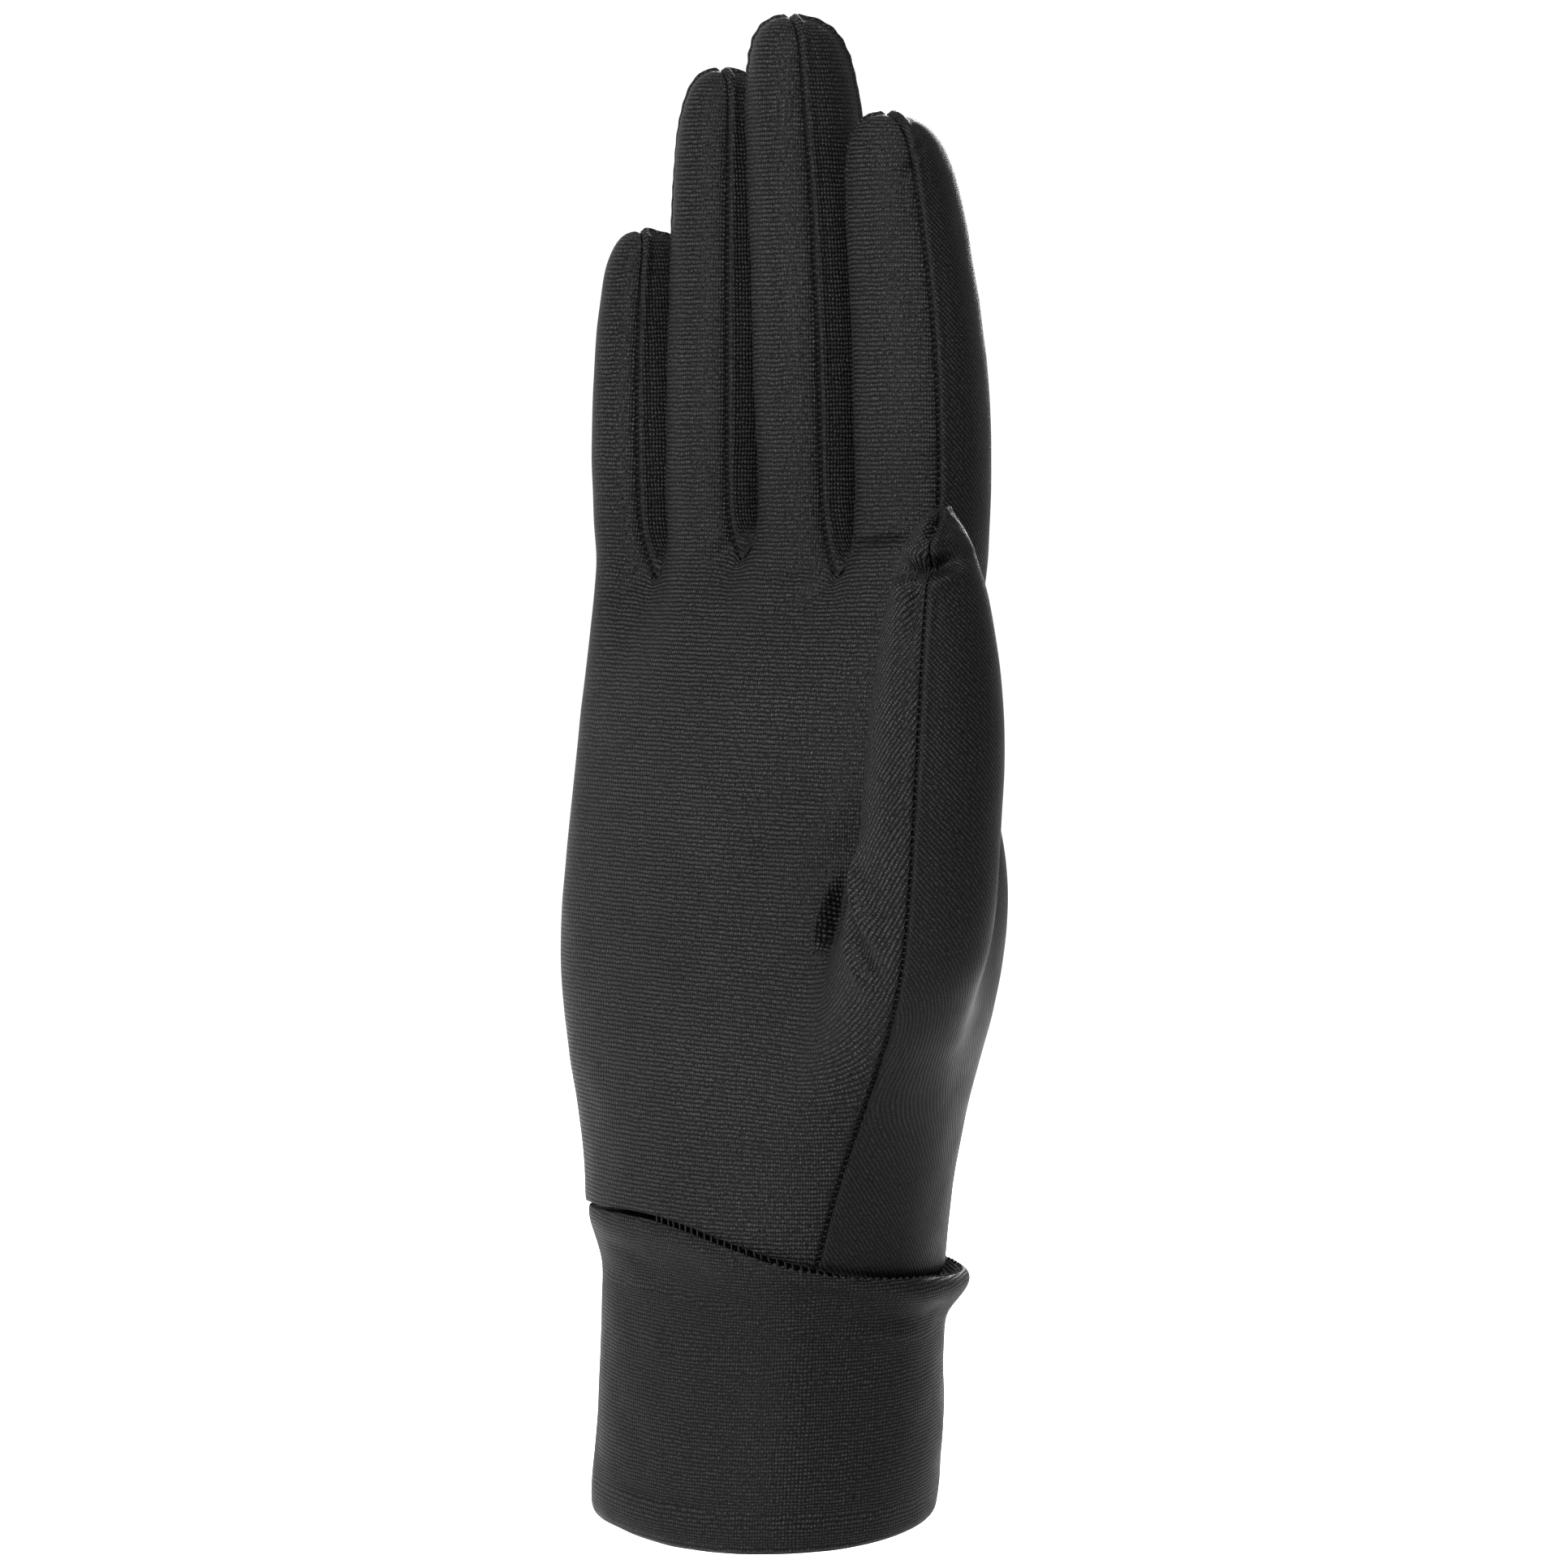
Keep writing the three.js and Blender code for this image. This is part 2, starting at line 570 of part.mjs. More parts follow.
// The hem's height where it faces that way: 1 is the back of the thumb side, -1 the opposite side.
function hemHeight(facing) {
  const { middle, dip, corner, slant } = HEM_WAVE;
  return middle - dip * facing ** 2 + corner * facing ** 4 + slant * facing;
}

// The cuff: rings of the wrist's section, wider or narrower as its profile says, joined in a loop.
function cuffGeometry() {
  const cage = makeCage();
  const seam = HAND_SECTIONS[0];
  const rows = CUFF_PROFILE.map((ring) => {
    const mix = (name) => THREE.MathUtils.lerp(CUFF_HEM[name], seam[name], Math.max(0, ring.up));
    const section = {
      x: mix('x'), y: mix('y'), halfWidth: mix('halfWidth'), halfDepth: mix('halfDepth'),
      square: mix('square'), fan: 0, seam: seam.seam,
    };
    const indices = [];
    for (let column = 0; column < HAND_COLUMNS; column += 1) {
      const flat = handPoint(section, column);
      const out = new THREE.Vector2(
        (flat.x - section.x) / section.halfWidth ** 2,
        (flat.y - section.y) / section.halfDepth ** 2,
      ).normalize();
      const facing = out.dot(WRIST_SEAM.towards);
      const share = (1 + facing) / 2;
      const place = flat.clone().addScaledVector(out, ring.out + ring.roll * share);
      const top = seamHeight(flat.x, flat.y) - SEAM_GAP;
      const height = THREE.MathUtils.lerp(hemHeight(facing), top, ring.up) + ring.rise * share ** 2;
      indices.push(addPoint(cage, place.x, place.y, height));
    }
    return indices;
  });
  rows.forEach((row, index) => joinRows(cage, row, rows[(index + 1) % rows.length], () => 'cuff'));
  const skin = smooth(cage);
  return geometryOf(skin.points, skin.faces.flatMap((face) => splitFace(face.corners)));
}

function addPiece(group, name, geometry, cloth) {
  const mesh = new THREE.Mesh(geometry, new THREE.MeshStandardMaterial(cloth));
  mesh.name = name;
  group.add(mesh);
}

const glove = new THREE.Group();
glove.name = 'running_glove';
const skin = smooth(gloveCage());
const normals = normalsOf(skin);
addPiece(glove, PALM, wallGeometry(skin, normals, PALM), PALM_CLOTH);
addPiece(glove, BACK, wallGeometry(skin, normals, BACK), BACK_CLOTH);
STRIPS.forEach((strip) => addPiece(glove, strip, wallGeometry(skin, normals, strip), PALM_CLOTH));
addPiece(glove, 'cuff', cuffGeometry(), CUFF_CLOTH);

export default glove;
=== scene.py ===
"""The looks of a thin knitted running glove for the right hand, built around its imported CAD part.

Every panel is a closed wall of cloth on the same control cage as the CAD part, divided finer and
then shaped by seams, folds and gathers. Lengths are millimetres until a mesh is made, and +X points
to the thumb side, +Y to the back of the hand and +Z to the fingertips.
"""
import itertools
import math
from collections import namedtuple

import bpy
import numpy as np
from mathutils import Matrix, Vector
from mathutils.bvhtree import BVHTree
from mathutils.kdtree import KDTree


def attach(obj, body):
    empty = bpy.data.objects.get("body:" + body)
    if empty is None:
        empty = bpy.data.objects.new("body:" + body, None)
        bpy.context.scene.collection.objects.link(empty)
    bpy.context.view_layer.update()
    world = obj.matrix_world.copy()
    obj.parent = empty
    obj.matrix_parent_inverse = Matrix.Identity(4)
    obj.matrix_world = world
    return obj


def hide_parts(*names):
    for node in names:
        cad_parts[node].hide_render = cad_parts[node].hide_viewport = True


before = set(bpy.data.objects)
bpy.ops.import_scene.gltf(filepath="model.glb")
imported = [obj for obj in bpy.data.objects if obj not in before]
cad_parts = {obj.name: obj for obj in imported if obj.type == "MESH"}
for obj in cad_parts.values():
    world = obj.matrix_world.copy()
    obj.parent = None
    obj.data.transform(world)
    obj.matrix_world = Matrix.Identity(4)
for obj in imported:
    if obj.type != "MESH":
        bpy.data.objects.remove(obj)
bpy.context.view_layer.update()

MM = 0.001

# Cloth and seams
CLOTH = 1.0  # thickness of one layer of brushed knit
SEAM_GAP = 0.6  # open line between two sewn panels
TIP_CLOSED = 0.75  # the share of it that closes at the tips of the fingers
CUFF_GAP = 0.3  # and between the panels and the cuff
CAGE_ROUNDS = 1  # rounds of division that the flat patterns are cut at
FINE_ROUNDS = 3  # further rounds for the visible surface
INNER_ROUNDS = 1  # and for the inside, which is plain
RING_SHRINK = 1.1  # an eight-sided ring of control points stands this much outside its round

# The wrist seam is a slanting ring: it drops towards the back of the thumb side, and it rises in a
# soft arch over the heel of the palm. Angles are in degrees from the thumb side towards the back.
WRIST_HEIGHT = 44.8
WRIST_SLOPE = 0.178
WRIST_TOWARDS = np.array((0.68, 0.73))
ARCH_HEIGHT = 3.2
ARCH_ANGLE = -84
ARCH_SPREAD = 44

# Columns of control points round the hand, counted from the little finger's side over the palm.
HAND_COLUMNS = 20
FRONT_FIRST = 1
FRONT_LAST = 9
THUMB_SIDE = 10
BACK_FIRST = 11
BACK_LAST = 19
SIDE_SHARE = 0.8
COLUMN_LIMIT = 0.93

# Sections of the hand from the wrist seam up. fan is 0 where the columns are evenly spaced and 1
# where they stand below the fingers, and seam is where the thumb-side seam runs, of the half width.
Section = namedtuple("Section", "height x y half_width half_depth square fan seam")
HAND_SECTIONS = [
    Section(44.8, -0.1, 0.1, 32.6, 23.2, 2.2, 0.0, 0.8),
    Section(57.0, 0.4, 0.4, 34.6, 22.7, 2.2, 0.0, 0.83),
    Section(70.0, 0.1, 0.3, 39.6, 21.5, 2.2, 0.1, 0.86),
    Section(86.0, 0.0, -0.2, 44.8, 19.6, 2.3, 0.3, 0.86),
    Section(103.0, 1.0, -0.3, 45.0, 18.0, 2.4, 0.6, 0.83),
    Section(119.0, 2.0, -0.6, 43.0, 16.4, 2.5, 0.9, 0.8),
    Section(134.5, 3.0, -1.0, 40.0, 14.6, 2.5, 1.0, 0.8),
]

# The little, ring, middle and index finger.
Finger = namedtuple(
    "Finger", "root_x root_y tip_x tip_y tip_height bow half_width half_depth taper seam_angle")
FINGERS = [
    Finger(-24.6, -2.0, -24.1, -2.4, 202.5, -1.2, 8.1, 8.2, 0.15, 40),
    Finger(-7.0, -1.6, -5.6, -2.4, 227.0, -0.4, 8.8, 9.1, 0.14, 52),
    Finger(13.0, -0.3, 11.4, -4.0, 234.5, 0.6, 9.3, 9.5, 0.03, 50),
    Finger(33.2, 1.6, 30.8, -2.4, 219.0, 1.8, 10.3, 10.1, 0.2, 64),
]
ROOT_HEIGHT = 149.0
TIP_FORWARD = 3.2
TIP_LIFT = 0.8
FingerRing = namedtuple("FingerRing", "along girth")
FINGER_RINGS = [
    FingerRing(0.1, 1.0), FingerRing(0.26, 1.02), FingerRing(0.44, 1.02), FingerRing(0.62, 1.0),
    FingerRing(0.78, 0.98), FingerRing(0.9, 0.91), FingerRing(0.98, 0.68),
]
FINGER_COLUMNS = 8
LITTLE_SIDE_SEAM = 48
BACK_SEAMS = (132, 228)
ROOT_CORNER_LITTLE = 0.75
ROOT_CORNER_INDEX = 0.85
ROOT_CORNER_DEPTH = 0.72

# Where two fingers part: heights of the seam's lowest point in front, the saddle, and behind.
Crotch = namedtuple("Crotch", "front saddle back")
CROTCHES = [Crotch(147.5, 152.5, 146.5), Crotch(152.5, 157.5, 150.5), Crotch(148.5, 154.5, 147.5)]
CROTCH_DEPTH = 0.62

# The thumb leaves the hand through a gap two rows high and two columns wide.
GAP_ROWS = (2, 4)
GAP_COLUMNS = (8, 10)
ThumbRing = namedtuple("ThumbRing", "x y height seam_radius side_radius lean turn")
THUMB_RINGS = [
    ThumbRing(46.8, -13.6, 93.0, 10.6, 12.0, 40, 32),
    ThumbRing(50.8, -14.4, 105.0, 10.6, 11.0, 22, 30),
    ThumbRing(52.3, -14.4, 118.0, 10.6, 10.7, 8, 30),
    ThumbRing(52.6, -14.1, 130.0, 10.0, 9.9, 4, 30),
    ThumbRing(52.8, -13.9, 141.0, 8.8, 8.7, 0, 30),
    ThumbRing(53.0, -14.0, 150.0, 7.1, 6.9, 0, 30),
    ThumbRing(53.2, -14.1, 157.0, 4.6, 4.2, 0, 30),
]
THUMB_TIP = (53.8, -13.9, 164.5)
THUMB_ROWS = 58  # the angle at which the rows on the palm's half of the thumb rise to its seam
WEB_SURENESS = 0.1  # how much less the rows' direction counts where they turn from palm to thumb
LEAST_SURENESS = 0.02
THUMB_SEAM_COLUMN = 1

# How the thumb's root swells the hand: row, and how far in front, behind and up.
ThumbSwell = namedtuple("ThumbSwell", "row front behind lift")
THUMB_SWELL = [
    ThumbSwell(2, 1.6, 0.8, 0.0), ThumbSwell(3, 3.0, 3.6, 0.0),
    ThumbSwell(4, -2.4, 4.6, 2.0), ThumbSwell(5, -1.5, 1.0, 1.0),
]
FRONT_SWELL_TOWARDS = np.array((0.55, -0.83, 0.0))
FRONT_SWELL_SHARES = {6: 0.15, 7: 0.4, 8: 0.8, 9: 1.0, 10: 0.5}
BACK_SWELL_TOWARDS = np.array((0.8, 0.6, 0.0))
BACK_SWELL_SHARES = {9: 0.2, 10: 0.4, 11: 1.1, 12: 0.6}
WEB_LIFT_SHARES = {7: 0.3, 8: 0.8, 9: 1.0, 10: 0.8, 11: 0.4}

# The cuff is one tube folded in at the hem. Each ring of it stands between the hem, where up is 0, and
# the wrist seam, where up is 1. out is how far it stands outside the hand's section there, and roll
# and rise are how much further out and up it goes on the side where the seam is lowest.
CUFF_HEM = Section(0.0, 0.0, 0.0, 28.4, 21.5, 2.3, 0.0, 0.8)
HEM_MIDDLE, HEM_DIP, HEM_CORNER, HEM_SLANT = 1.0, 2.8, 3.9, 0.8
CuffRing = namedtuple("CuffRing", "up out roll rise")
CUFF_PROFILE = [
    CuffRing(-0.01, 0.2, 0, 0), CuffRing(0.02, 1.9, 0, 0), CuffRing(0.12, 1.4, 0.2, 0),
    CuffRing(0.35, -0.1, 2.2, 0.8), CuffRing(0.6, -1.5, 2.8, 1.0), CuffRing(0.79, -2.2, 3.0, 1.0),
    CuffRing(0.84, -2.0, 3.8, 1.3), CuffRing(0.9, -1.2, 4.8, 1.7), CuffRing(0.95, -0.5, 5.3, 2.1),
    CuffRing(0.985, -0.5, 4.4, 2.6), CuffRing(1.0, -0.8, 3.2, 2.6), CuffRing(0.985, -0.8, 2.0, 0.2),
    CuffRing(0.97, -2.6, 0, 0), CuffRing(0.6, -3.8, 0, 0), CuffRing(0.06, -1.6, 0, 0),
]

# The panels, in the order of their numbers in the cage
PALM, BACK, STRIP_LITTLE, STRIP_RING, STRIP_MIDDLE = range(5)
STRIPS = (STRIP_LITTLE, STRIP_RING, STRIP_MIDDLE)
PANEL_NODES = ["palm_panel", "back_panel", "strip_little_ring", "strip_ring_middle", "strip_middle_index"]


def lerp(a, b, share):
    return a + (b - a) * share


def unit(vectors):
    """The vectors at length 1, row by row."""
    size = np.linalg.norm(vectors, axis=-1, keepdims=True)
    return vectors / np.maximum(size, 1e-12)


def smoothstep(value):
    value = np.clip(value, 0, 1)
    return value * value * (3 - 2 * value)


# The control cage


class Cage:
    def __init__(self):
        self.points = []
        self.thumb_from = None  # the index of the thumb's first point
        self.faces = []
        self.panels = []

    def add(self, x, y, z):
        self.points.append((x, y, z))
        return len(self.points) - 1

    def join_rows(self, lower, upper, panel_of):
        count = len(lower)
        for column in range(count):
            after = (column + 1) % count
            panel = panel_of(column)
            if panel is not None:
                self.faces.append((lower[column], lower[after], upper[after], upper[column]))
                self.panels.append(panel)

    def close_tip(self, ring, tip, start, panel_of):
        """Four faces close a ring of eight points to one tip point, starting at a seam column."""
        count = len(ring)
        for side in range(count // 2):
            first = start + side * 2
            corners = [ring[(first + step) % count] for step in range(3)]
            self.faces.append((tip, *corners))
            self.panels.append(panel_of(side))


def oval_depth(section, share):
    rest = max(0.0, 1 - abs(share) ** section.square)
    return section.half_depth * rest ** (1 / section.square)


def seam_height(x, y):
    """The height of the wrist seam beside a point."""
    drop = WRIST_SLOPE * (x * WRIST_TOWARDS[0] + y * WRIST_TOWARDS[1])
    away = (math.degrees(math.atan2(y, x)) - ARCH_ANGLE + 180) % 360 - 180
    return WRIST_HEIGHT - drop + ARCH_HEIGHT * math.exp(-(away / ARCH_SPREAD) ** 2)


def crotch_x(index):
    return (FINGERS[index].root_x + FINGERS[index + 1].root_x) / 2


def root_line():
    """The x of each palm column at the finger roots: corner, finger, crotch, finger, ... corner."""
    line = []
    for index, finger in enumerate(FINGERS):
        corner = finger.root_x - finger.half_width * ROOT_CORNER_LITTLE
        line.append(corner if index == 0 else crotch_x(index - 1))
        line.append(finger.root_x)
    line.append(FINGERS[-1].root_x + FINGERS[-1].half_width * ROOT_CORNER_INDEX)
    return line


def hand_point(section, column):
    if column in (0, THUMB_SIDE):
        side = 1 if column else -1
        return np.array((section.x + side * section.half_width, section.y))
    front = column <= FRONT_LAST
    step = column - FRONT_FIRST if front else BACK_LAST - column
    corner = section.seam if front else SIDE_SHARE
    even = lerp(-SIDE_SHARE, corner, step / (FRONT_LAST - FRONT_FIRST))
    below = (root_line()[step] - section.x) / section.half_width
    share = lerp(even, min(max(below, -COLUMN_LIMIT), COLUMN_LIMIT), section.fan)
    depth = oval_depth(section, share)
    return np.array((section.x + share * section.half_width, section.y + (-depth if front else depth)))


def add_hand_row(cage, section, row):
    swell = next((entry for entry in THUMB_SWELL if entry.row == row), None)
    indices = []
    for column in range(HAND_COLUMNS):
        x, y = hand_point(section, column)
        point = np.array((x, y, section.height))
        if row == 0:
            point[2] = seam_height(x, y)
        if swell:
            point += FRONT_SWELL_TOWARDS * swell.front * FRONT_SWELL_SHARES.get(column, 0)
            point += BACK_SWELL_TOWARDS * swell.behind * BACK_SWELL_SHARES.get(column, 0)
            point[2] += swell.lift * WEB_LIFT_SHARES.get(column, 0)
        indices.append(cage.add(*point))
    return indices


def add_root_row(cage):
    """The finger roots: one row of the hand, plus a saddle point in each crotch."""
    row = [None] * HAND_COLUMNS
    saddles = []
    line = root_line()

    def put(column, x, y):
        row[column] = cage.add(x, y, ROOT_HEIGHT)

    for index, finger in enumerate(FINGERS):
        depth = finger.half_depth * RING_SHRINK
        put(FRONT_FIRST + 1 + index * 2, finger.root_x, finger.root_y - depth)
        put(BACK_LAST - 1 - index * 2, finger.root_x, finger.root_y + depth)
    for index, crotch in enumerate(CROTCHES):
        one, two = FINGERS[index], FINGERS[index + 1]
        y = (one.root_y + two.root_y) / 2
        depth = CROTCH_DEPTH * (one.half_depth + two.half_depth) / 2
        x = crotch_x(index)
        row[FRONT_FIRST + 2 + index * 2] = cage.add(x, y - depth, crotch.front)
        row[BACK_LAST - 2 - index * 2] = cage.add(x, y + depth, crotch.back)
        saddles.append(cage.add(x, y, crotch.saddle))
    first, last = FINGERS[0], FINGERS[-1]
    little_depth = first.half_depth * ROOT_CORNER_DEPTH
    index_depth = last.half_depth * ROOT_CORNER_DEPTH
    put(FRONT_FIRST, line[0], first.root_y - little_depth)
    put(BACK_LAST, line[0], first.root_y + little_depth)
    put(0, first.root_x - first.half_width * RING_SHRINK, first.root_y)
    put(FRONT_LAST, line[-1], last.root_y - index_depth)
    put(BACK_FIRST, line[-1], last.root_y + index_depth)
    put(THUMB_SIDE, last.root_x + last.half_width * RING_SHRINK, last.root_y)
    return row, saddles


def root_ring(row, saddles, index):
    column = FRONT_FIRST + index * 2
    mirror = BACK_LAST - index * 2
    inner = saddles[index - 1] if index > 0 else row[0]
    outer = saddles[index] if index < len(CROTCHES) else row[THUMB_SIDE]
    return [
        row[column], row[column + 1], row[column + 2], outer,
        row[mirror - 2], row[mirror - 1], row[mirror], inner,
    ]


def finger_panels(index):
    """Which panel each side of a finger belongs to: front, thumb side, back, little finger's side."""
    outer = STRIPS[index] if index < len(STRIPS) else BACK
    inner = STRIPS[index - 1] if index > 0 else PALM
    return (PALM, outer, BACK, inner)


def add_finger(cage, row, saddles, index):
    finger = FINGERS[index]
    sides = finger_panels(index)
    angles = (-LITTLE_SIDE_SEAM, 0, finger.seam_angle, 90, BACK_SEAMS[0], 180, BACK_SEAMS[1], 270)
    length = finger.tip_height - ROOT_HEIGHT
    lower = root_ring(row, saddles, index)
    for ring in FINGER_RINGS:
        x = lerp(finger.root_x, finger.tip_x, ring.along) + finger.bow * math.sin(math.pi * ring.along)
        y = lerp(finger.root_y, finger.tip_y, ring.along ** 2)
        out = RING_SHRINK * ring.girth * (1 - finger.taper * ring.along ** 3)
        upper = []
        for angle in angles:
            turn = math.radians(angle)
            px = x + finger.half_width * out * math.sin(turn)
            py = y - finger.half_depth * out * math.cos(turn)
            upper.append(cage.add(px, py, ROOT_HEIGHT + length * ring.along))
        cage.join_rows(lower, upper, lambda column: sides[column // 2])
        lower = upper
    tip = cage.add(finger.tip_x, finger.tip_y - TIP_FORWARD, finger.tip_height + TIP_LIFT)
    cage.close_tip(lower, tip, 0, lambda side: sides[side])


def gap_ring(rows):
    """The edge of the gap in the hand, round from its lower palm corner."""
    low, high = GAP_ROWS
    first, last = GAP_COLUMNS
    middle_row = (low + high) // 2
    middle = (first + last) // 2
    return [
        rows[low][first], rows[low][middle], rows[low][last], rows[middle_row][last],
        rows[high][last], rows[high][middle], rows[high][first], rows[middle_row][first],
    ]


def add_thumb(cage, rows):
    def panel_of(column):
        return BACK if THUMB_SEAM_COLUMN <= column < THUMB_SEAM_COLUMN + 4 else PALM

    lower = gap_ring(rows)
    cage.thumb_from = len(cage.points)
    for ring in THUMB_RINGS:
        turn, lean = math.radians(ring.turn), math.radians(ring.lean)
        side = np.array((math.cos(turn), math.sin(turn), 0.0))
        seam = np.array((math.sin(turn) * math.cos(lean), -math.cos(turn) * math.cos(lean), -math.sin(lean)))
        upper = []
        for column in range(FINGER_COLUMNS):
            angle = (column - THUMB_SEAM_COLUMN) / FINGER_COLUMNS * math.tau
            point = np.array((ring.x, ring.y, ring.height))
            point = point + seam * math.cos(angle) * ring.seam_radius * RING_SHRINK
            point = point + side * math.sin(angle) * ring.side_radius * RING_SHRINK
            upper.append(cage.add(*point))
        cage.join_rows(lower, upper, panel_of)
        lower = upper
    tip = cage.add(*THUMB_TIP)
    cage.close_tip(lower, tip, THUMB_SEAM_COLUMN, lambda side: BACK if side < 2 else PALM)


def hand_panel(row, column):
    in_gap = GAP_ROWS[0] <= row < GAP_ROWS[1] and GAP_COLUMNS[0] <= column < GAP_COLUMNS[1]
    if in_gap:
        return None
    return BACK if FRONT_LAST <= column < BACK_LAST else PALM


def glove_cage():
    cage = Cage()
    rows = [add_hand_row(cage, section, row) for row, section in enumerate(HAND_SECTIONS)]
    root_row, saddles = add_root_row(cage)
    rows.append(root_row)
    for row in range(len(rows) - 1):
        cage.join_rows(rows[row], rows[row + 1], lambda column, at=row: hand_panel(at, column))
    for index in range(len(FINGERS)):
        add_finger(cage, root_row, saddles, index)
    add_thumb(cage, rows)
    return cage


def hem_height(facing):
    return HEM_MIDDLE - HEM_DIP * facing ** 2 + HEM_CORNER * facing ** 4 + HEM_SLANT * facing


def cuff_cage():
    cage = Cage()
    seam = HAND_SECTIONS[0]
    rows = []
    for ring in CUFF_PROFILE:
        share = max(0.0, ring.up)
        mixed = [lerp(a, b, share) for a, b in zip(CUFF_HEM[1:6], seam[1:6])]
        section = Section(0.0, *mixed, 0.0, seam.seam)
        middle = np.array((section.x, section.y))
        halves = np.array((section.half_width, section.half_depth))
        row = []
        for column in range(HAND_COLUMNS):
            place = hand_point(section, column)
            out = unit((place - middle) / halves ** 2)
            facing = float(out @ WRIST_TOWARDS)
            proud = (1 + facing) / 2
            top = seam_height(*place) - CUFF_GAP
            height = lerp(hem_height(facing), top, ring.up) + ring.rise * proud ** 2
            row.append(cage.add(*(place + out * (ring.out + ring.roll * proud)), height))
        rows.append(row)
    for index, row in enumerate(rows):
        cage.join_rows(row, rows[(index + 1) % len(rows)], lambda column: 0)
    return cage


# Division into a smooth surface


def gather(indices, values, count):
    """The sum of the values at each index."""
    return np.stack([np.bincount(indices, weights=column, minlength=count) for column in values.T], axis=1)


def uses_of(indices, count):
    """How often each index comes up, as a column of at least 1."""
    return np.maximum(np.bincount(indices.ravel(), minlength=count), 1)[:, None]


def edges_of(faces):
    """The edges, which edge follows each corner of each face, and how many faces each edge has."""
    pairs = np.stack([faces, np.roll(faces, -1, axis=1)], axis=2).reshape(-1, 2)
    pairs = np.sort(pairs, axis=1)
    edges, where, uses = np.unique(pairs, axis=0, return_inverse=True, return_counts=True)
    return edges, where.reshape(-1, 4), uses


def divide(points, faces):
    """One round of Catmull-Clark. The four children of a face follow each other in its corners' order."""
    count = len(points)
    edges, where, uses = edges_of(faces)
    middles = points[faces].mean(axis=1)
    face_sum = gather(where.ravel(), np.repeat(middles, 4, axis=0), len(edges))
    edge_middles = points[edges].mean(axis=1)
    edge_points = (points[edges].sum(axis=1) + face_sum) / 4
    rim = uses == 1
    edge_points[rim] = edge_middles[rim]
    valence = uses_of(faces, count)
    around_faces = gather(faces.ravel(), np.repeat(middles, 4, axis=0), count) / valence
    around_edges = gather(edges.ravel(), np.repeat(edge_middles, 2, axis=0), count) / uses_of(edges, count)
    moved = (around_faces + 2 * around_edges + (valence - 3) * points) / valence
    rim_ends = edges[rim].ravel()
    rim_mean = gather(rim_ends, np.repeat(edge_middles[rim], 2, axis=0), count) / uses_of(rim_ends, count)
    moved[rim_ends] = ((points + rim_mean) / 2)[rim_ends]
    sides = count + where
    centres = count + len(edges) + np.arange(len(faces))
    children = [
        np.stack([faces[:, corner], sides[:, corner], centres, sides[:, corner - 1]], axis=1)
        for corner in range(4)
    ]
    return np.concatenate([moved, edge_points, middles]), np.stack(children, axis=1).reshape(-1, 4)


def beside_sum(edges, points):
    """The sum of the points at the other end of each point's edges."""
    first, last = edges.T
    return gather(first, points[last], len(points)) + gather(last, points[first], len(points))


def settle(points, faces):
    """Moves every point onto the smooth surface that more rounds would reach."""
    count = len(points)
    edges, _, uses = edges_of(faces)
    valence = uses_of(faces, count)
    across = gather(faces.ravel(), points[np.roll(faces, -2, axis=1).ravel()], count)
    moved = (valence ** 2 * points + 4 * beside_sum(edges, points) + across) / (valence * (valence + 5))
    rim = edges[uses == 1]
    on_rim = rim.ravel()
    settled = (4 * points + beside_sum(rim, points)) / (4 + uses_of(rim, count))
    moved[on_rim] = settled[on_rim]
    return moved


def normals_of(points, faces):
    a, b, c, d = (points[faces[:, corner]] for corner in range(4))
    normal = np.cross(c - a, d - b)
    return unit(gather(faces.ravel(), np.repeat(normal, 4, axis=0), len(points)))


# Flat patterns: each panel is flattened for the size of its cut, and its knit is laid out in the rows
# that show on the worn glove


def face_areas(points, faces):
    a, b, c, d = (points[faces[:, corner]] for corner in range(4))
    if points.shape[1] == 2:
        p, q = c - a, d - b
        return np.abs(p[:, 0] * q[:, 1] - p[:, 1] * q[:, 0]) / 2
    return np.linalg.norm(np.cross(c - a, d - b), axis=1) / 2


def flatten(points, faces):
    """The panel's flat pattern in millimetres, not yet turned."""
    mesh = bpy.data.meshes.new("flat_pattern")
    mesh.from_pydata(points.tolist(), [], faces.tolist())
    carrier = in_scene("flat_pattern", mesh)
    bpy.context.view_layer.objects.active = carrier
    carrier.select_set(True)
    mesh.uv_layers.new(name="flat")
    bpy.ops.object.mode_set(mode="EDIT")
    bpy.ops.mesh.select_all(action="SELECT")
    bpy.ops.uv.unwrap(method="MINIMUM_STRETCH", fill_holes=False, correct_aspect=False, iterations=30)
    bpy.ops.object.mode_set(mode="OBJECT")
    corners = np.zeros(len(mesh.loops) * 2, np.float32)
    mesh.uv_layers["flat"].uv.foreach_get("vector", corners)
    flat = np.zeros((len(points), 2))
    flat[faces.ravel()] = corners.reshape(-1, 2)
    bpy.data.objects.remove(carrier)
    bpy.data.meshes.remove(mesh)
    scale = math.sqrt(face_areas(points, faces).sum() / face_areas(flat, faces).sum())
    return (flat - flat.mean(axis=0)) * scale


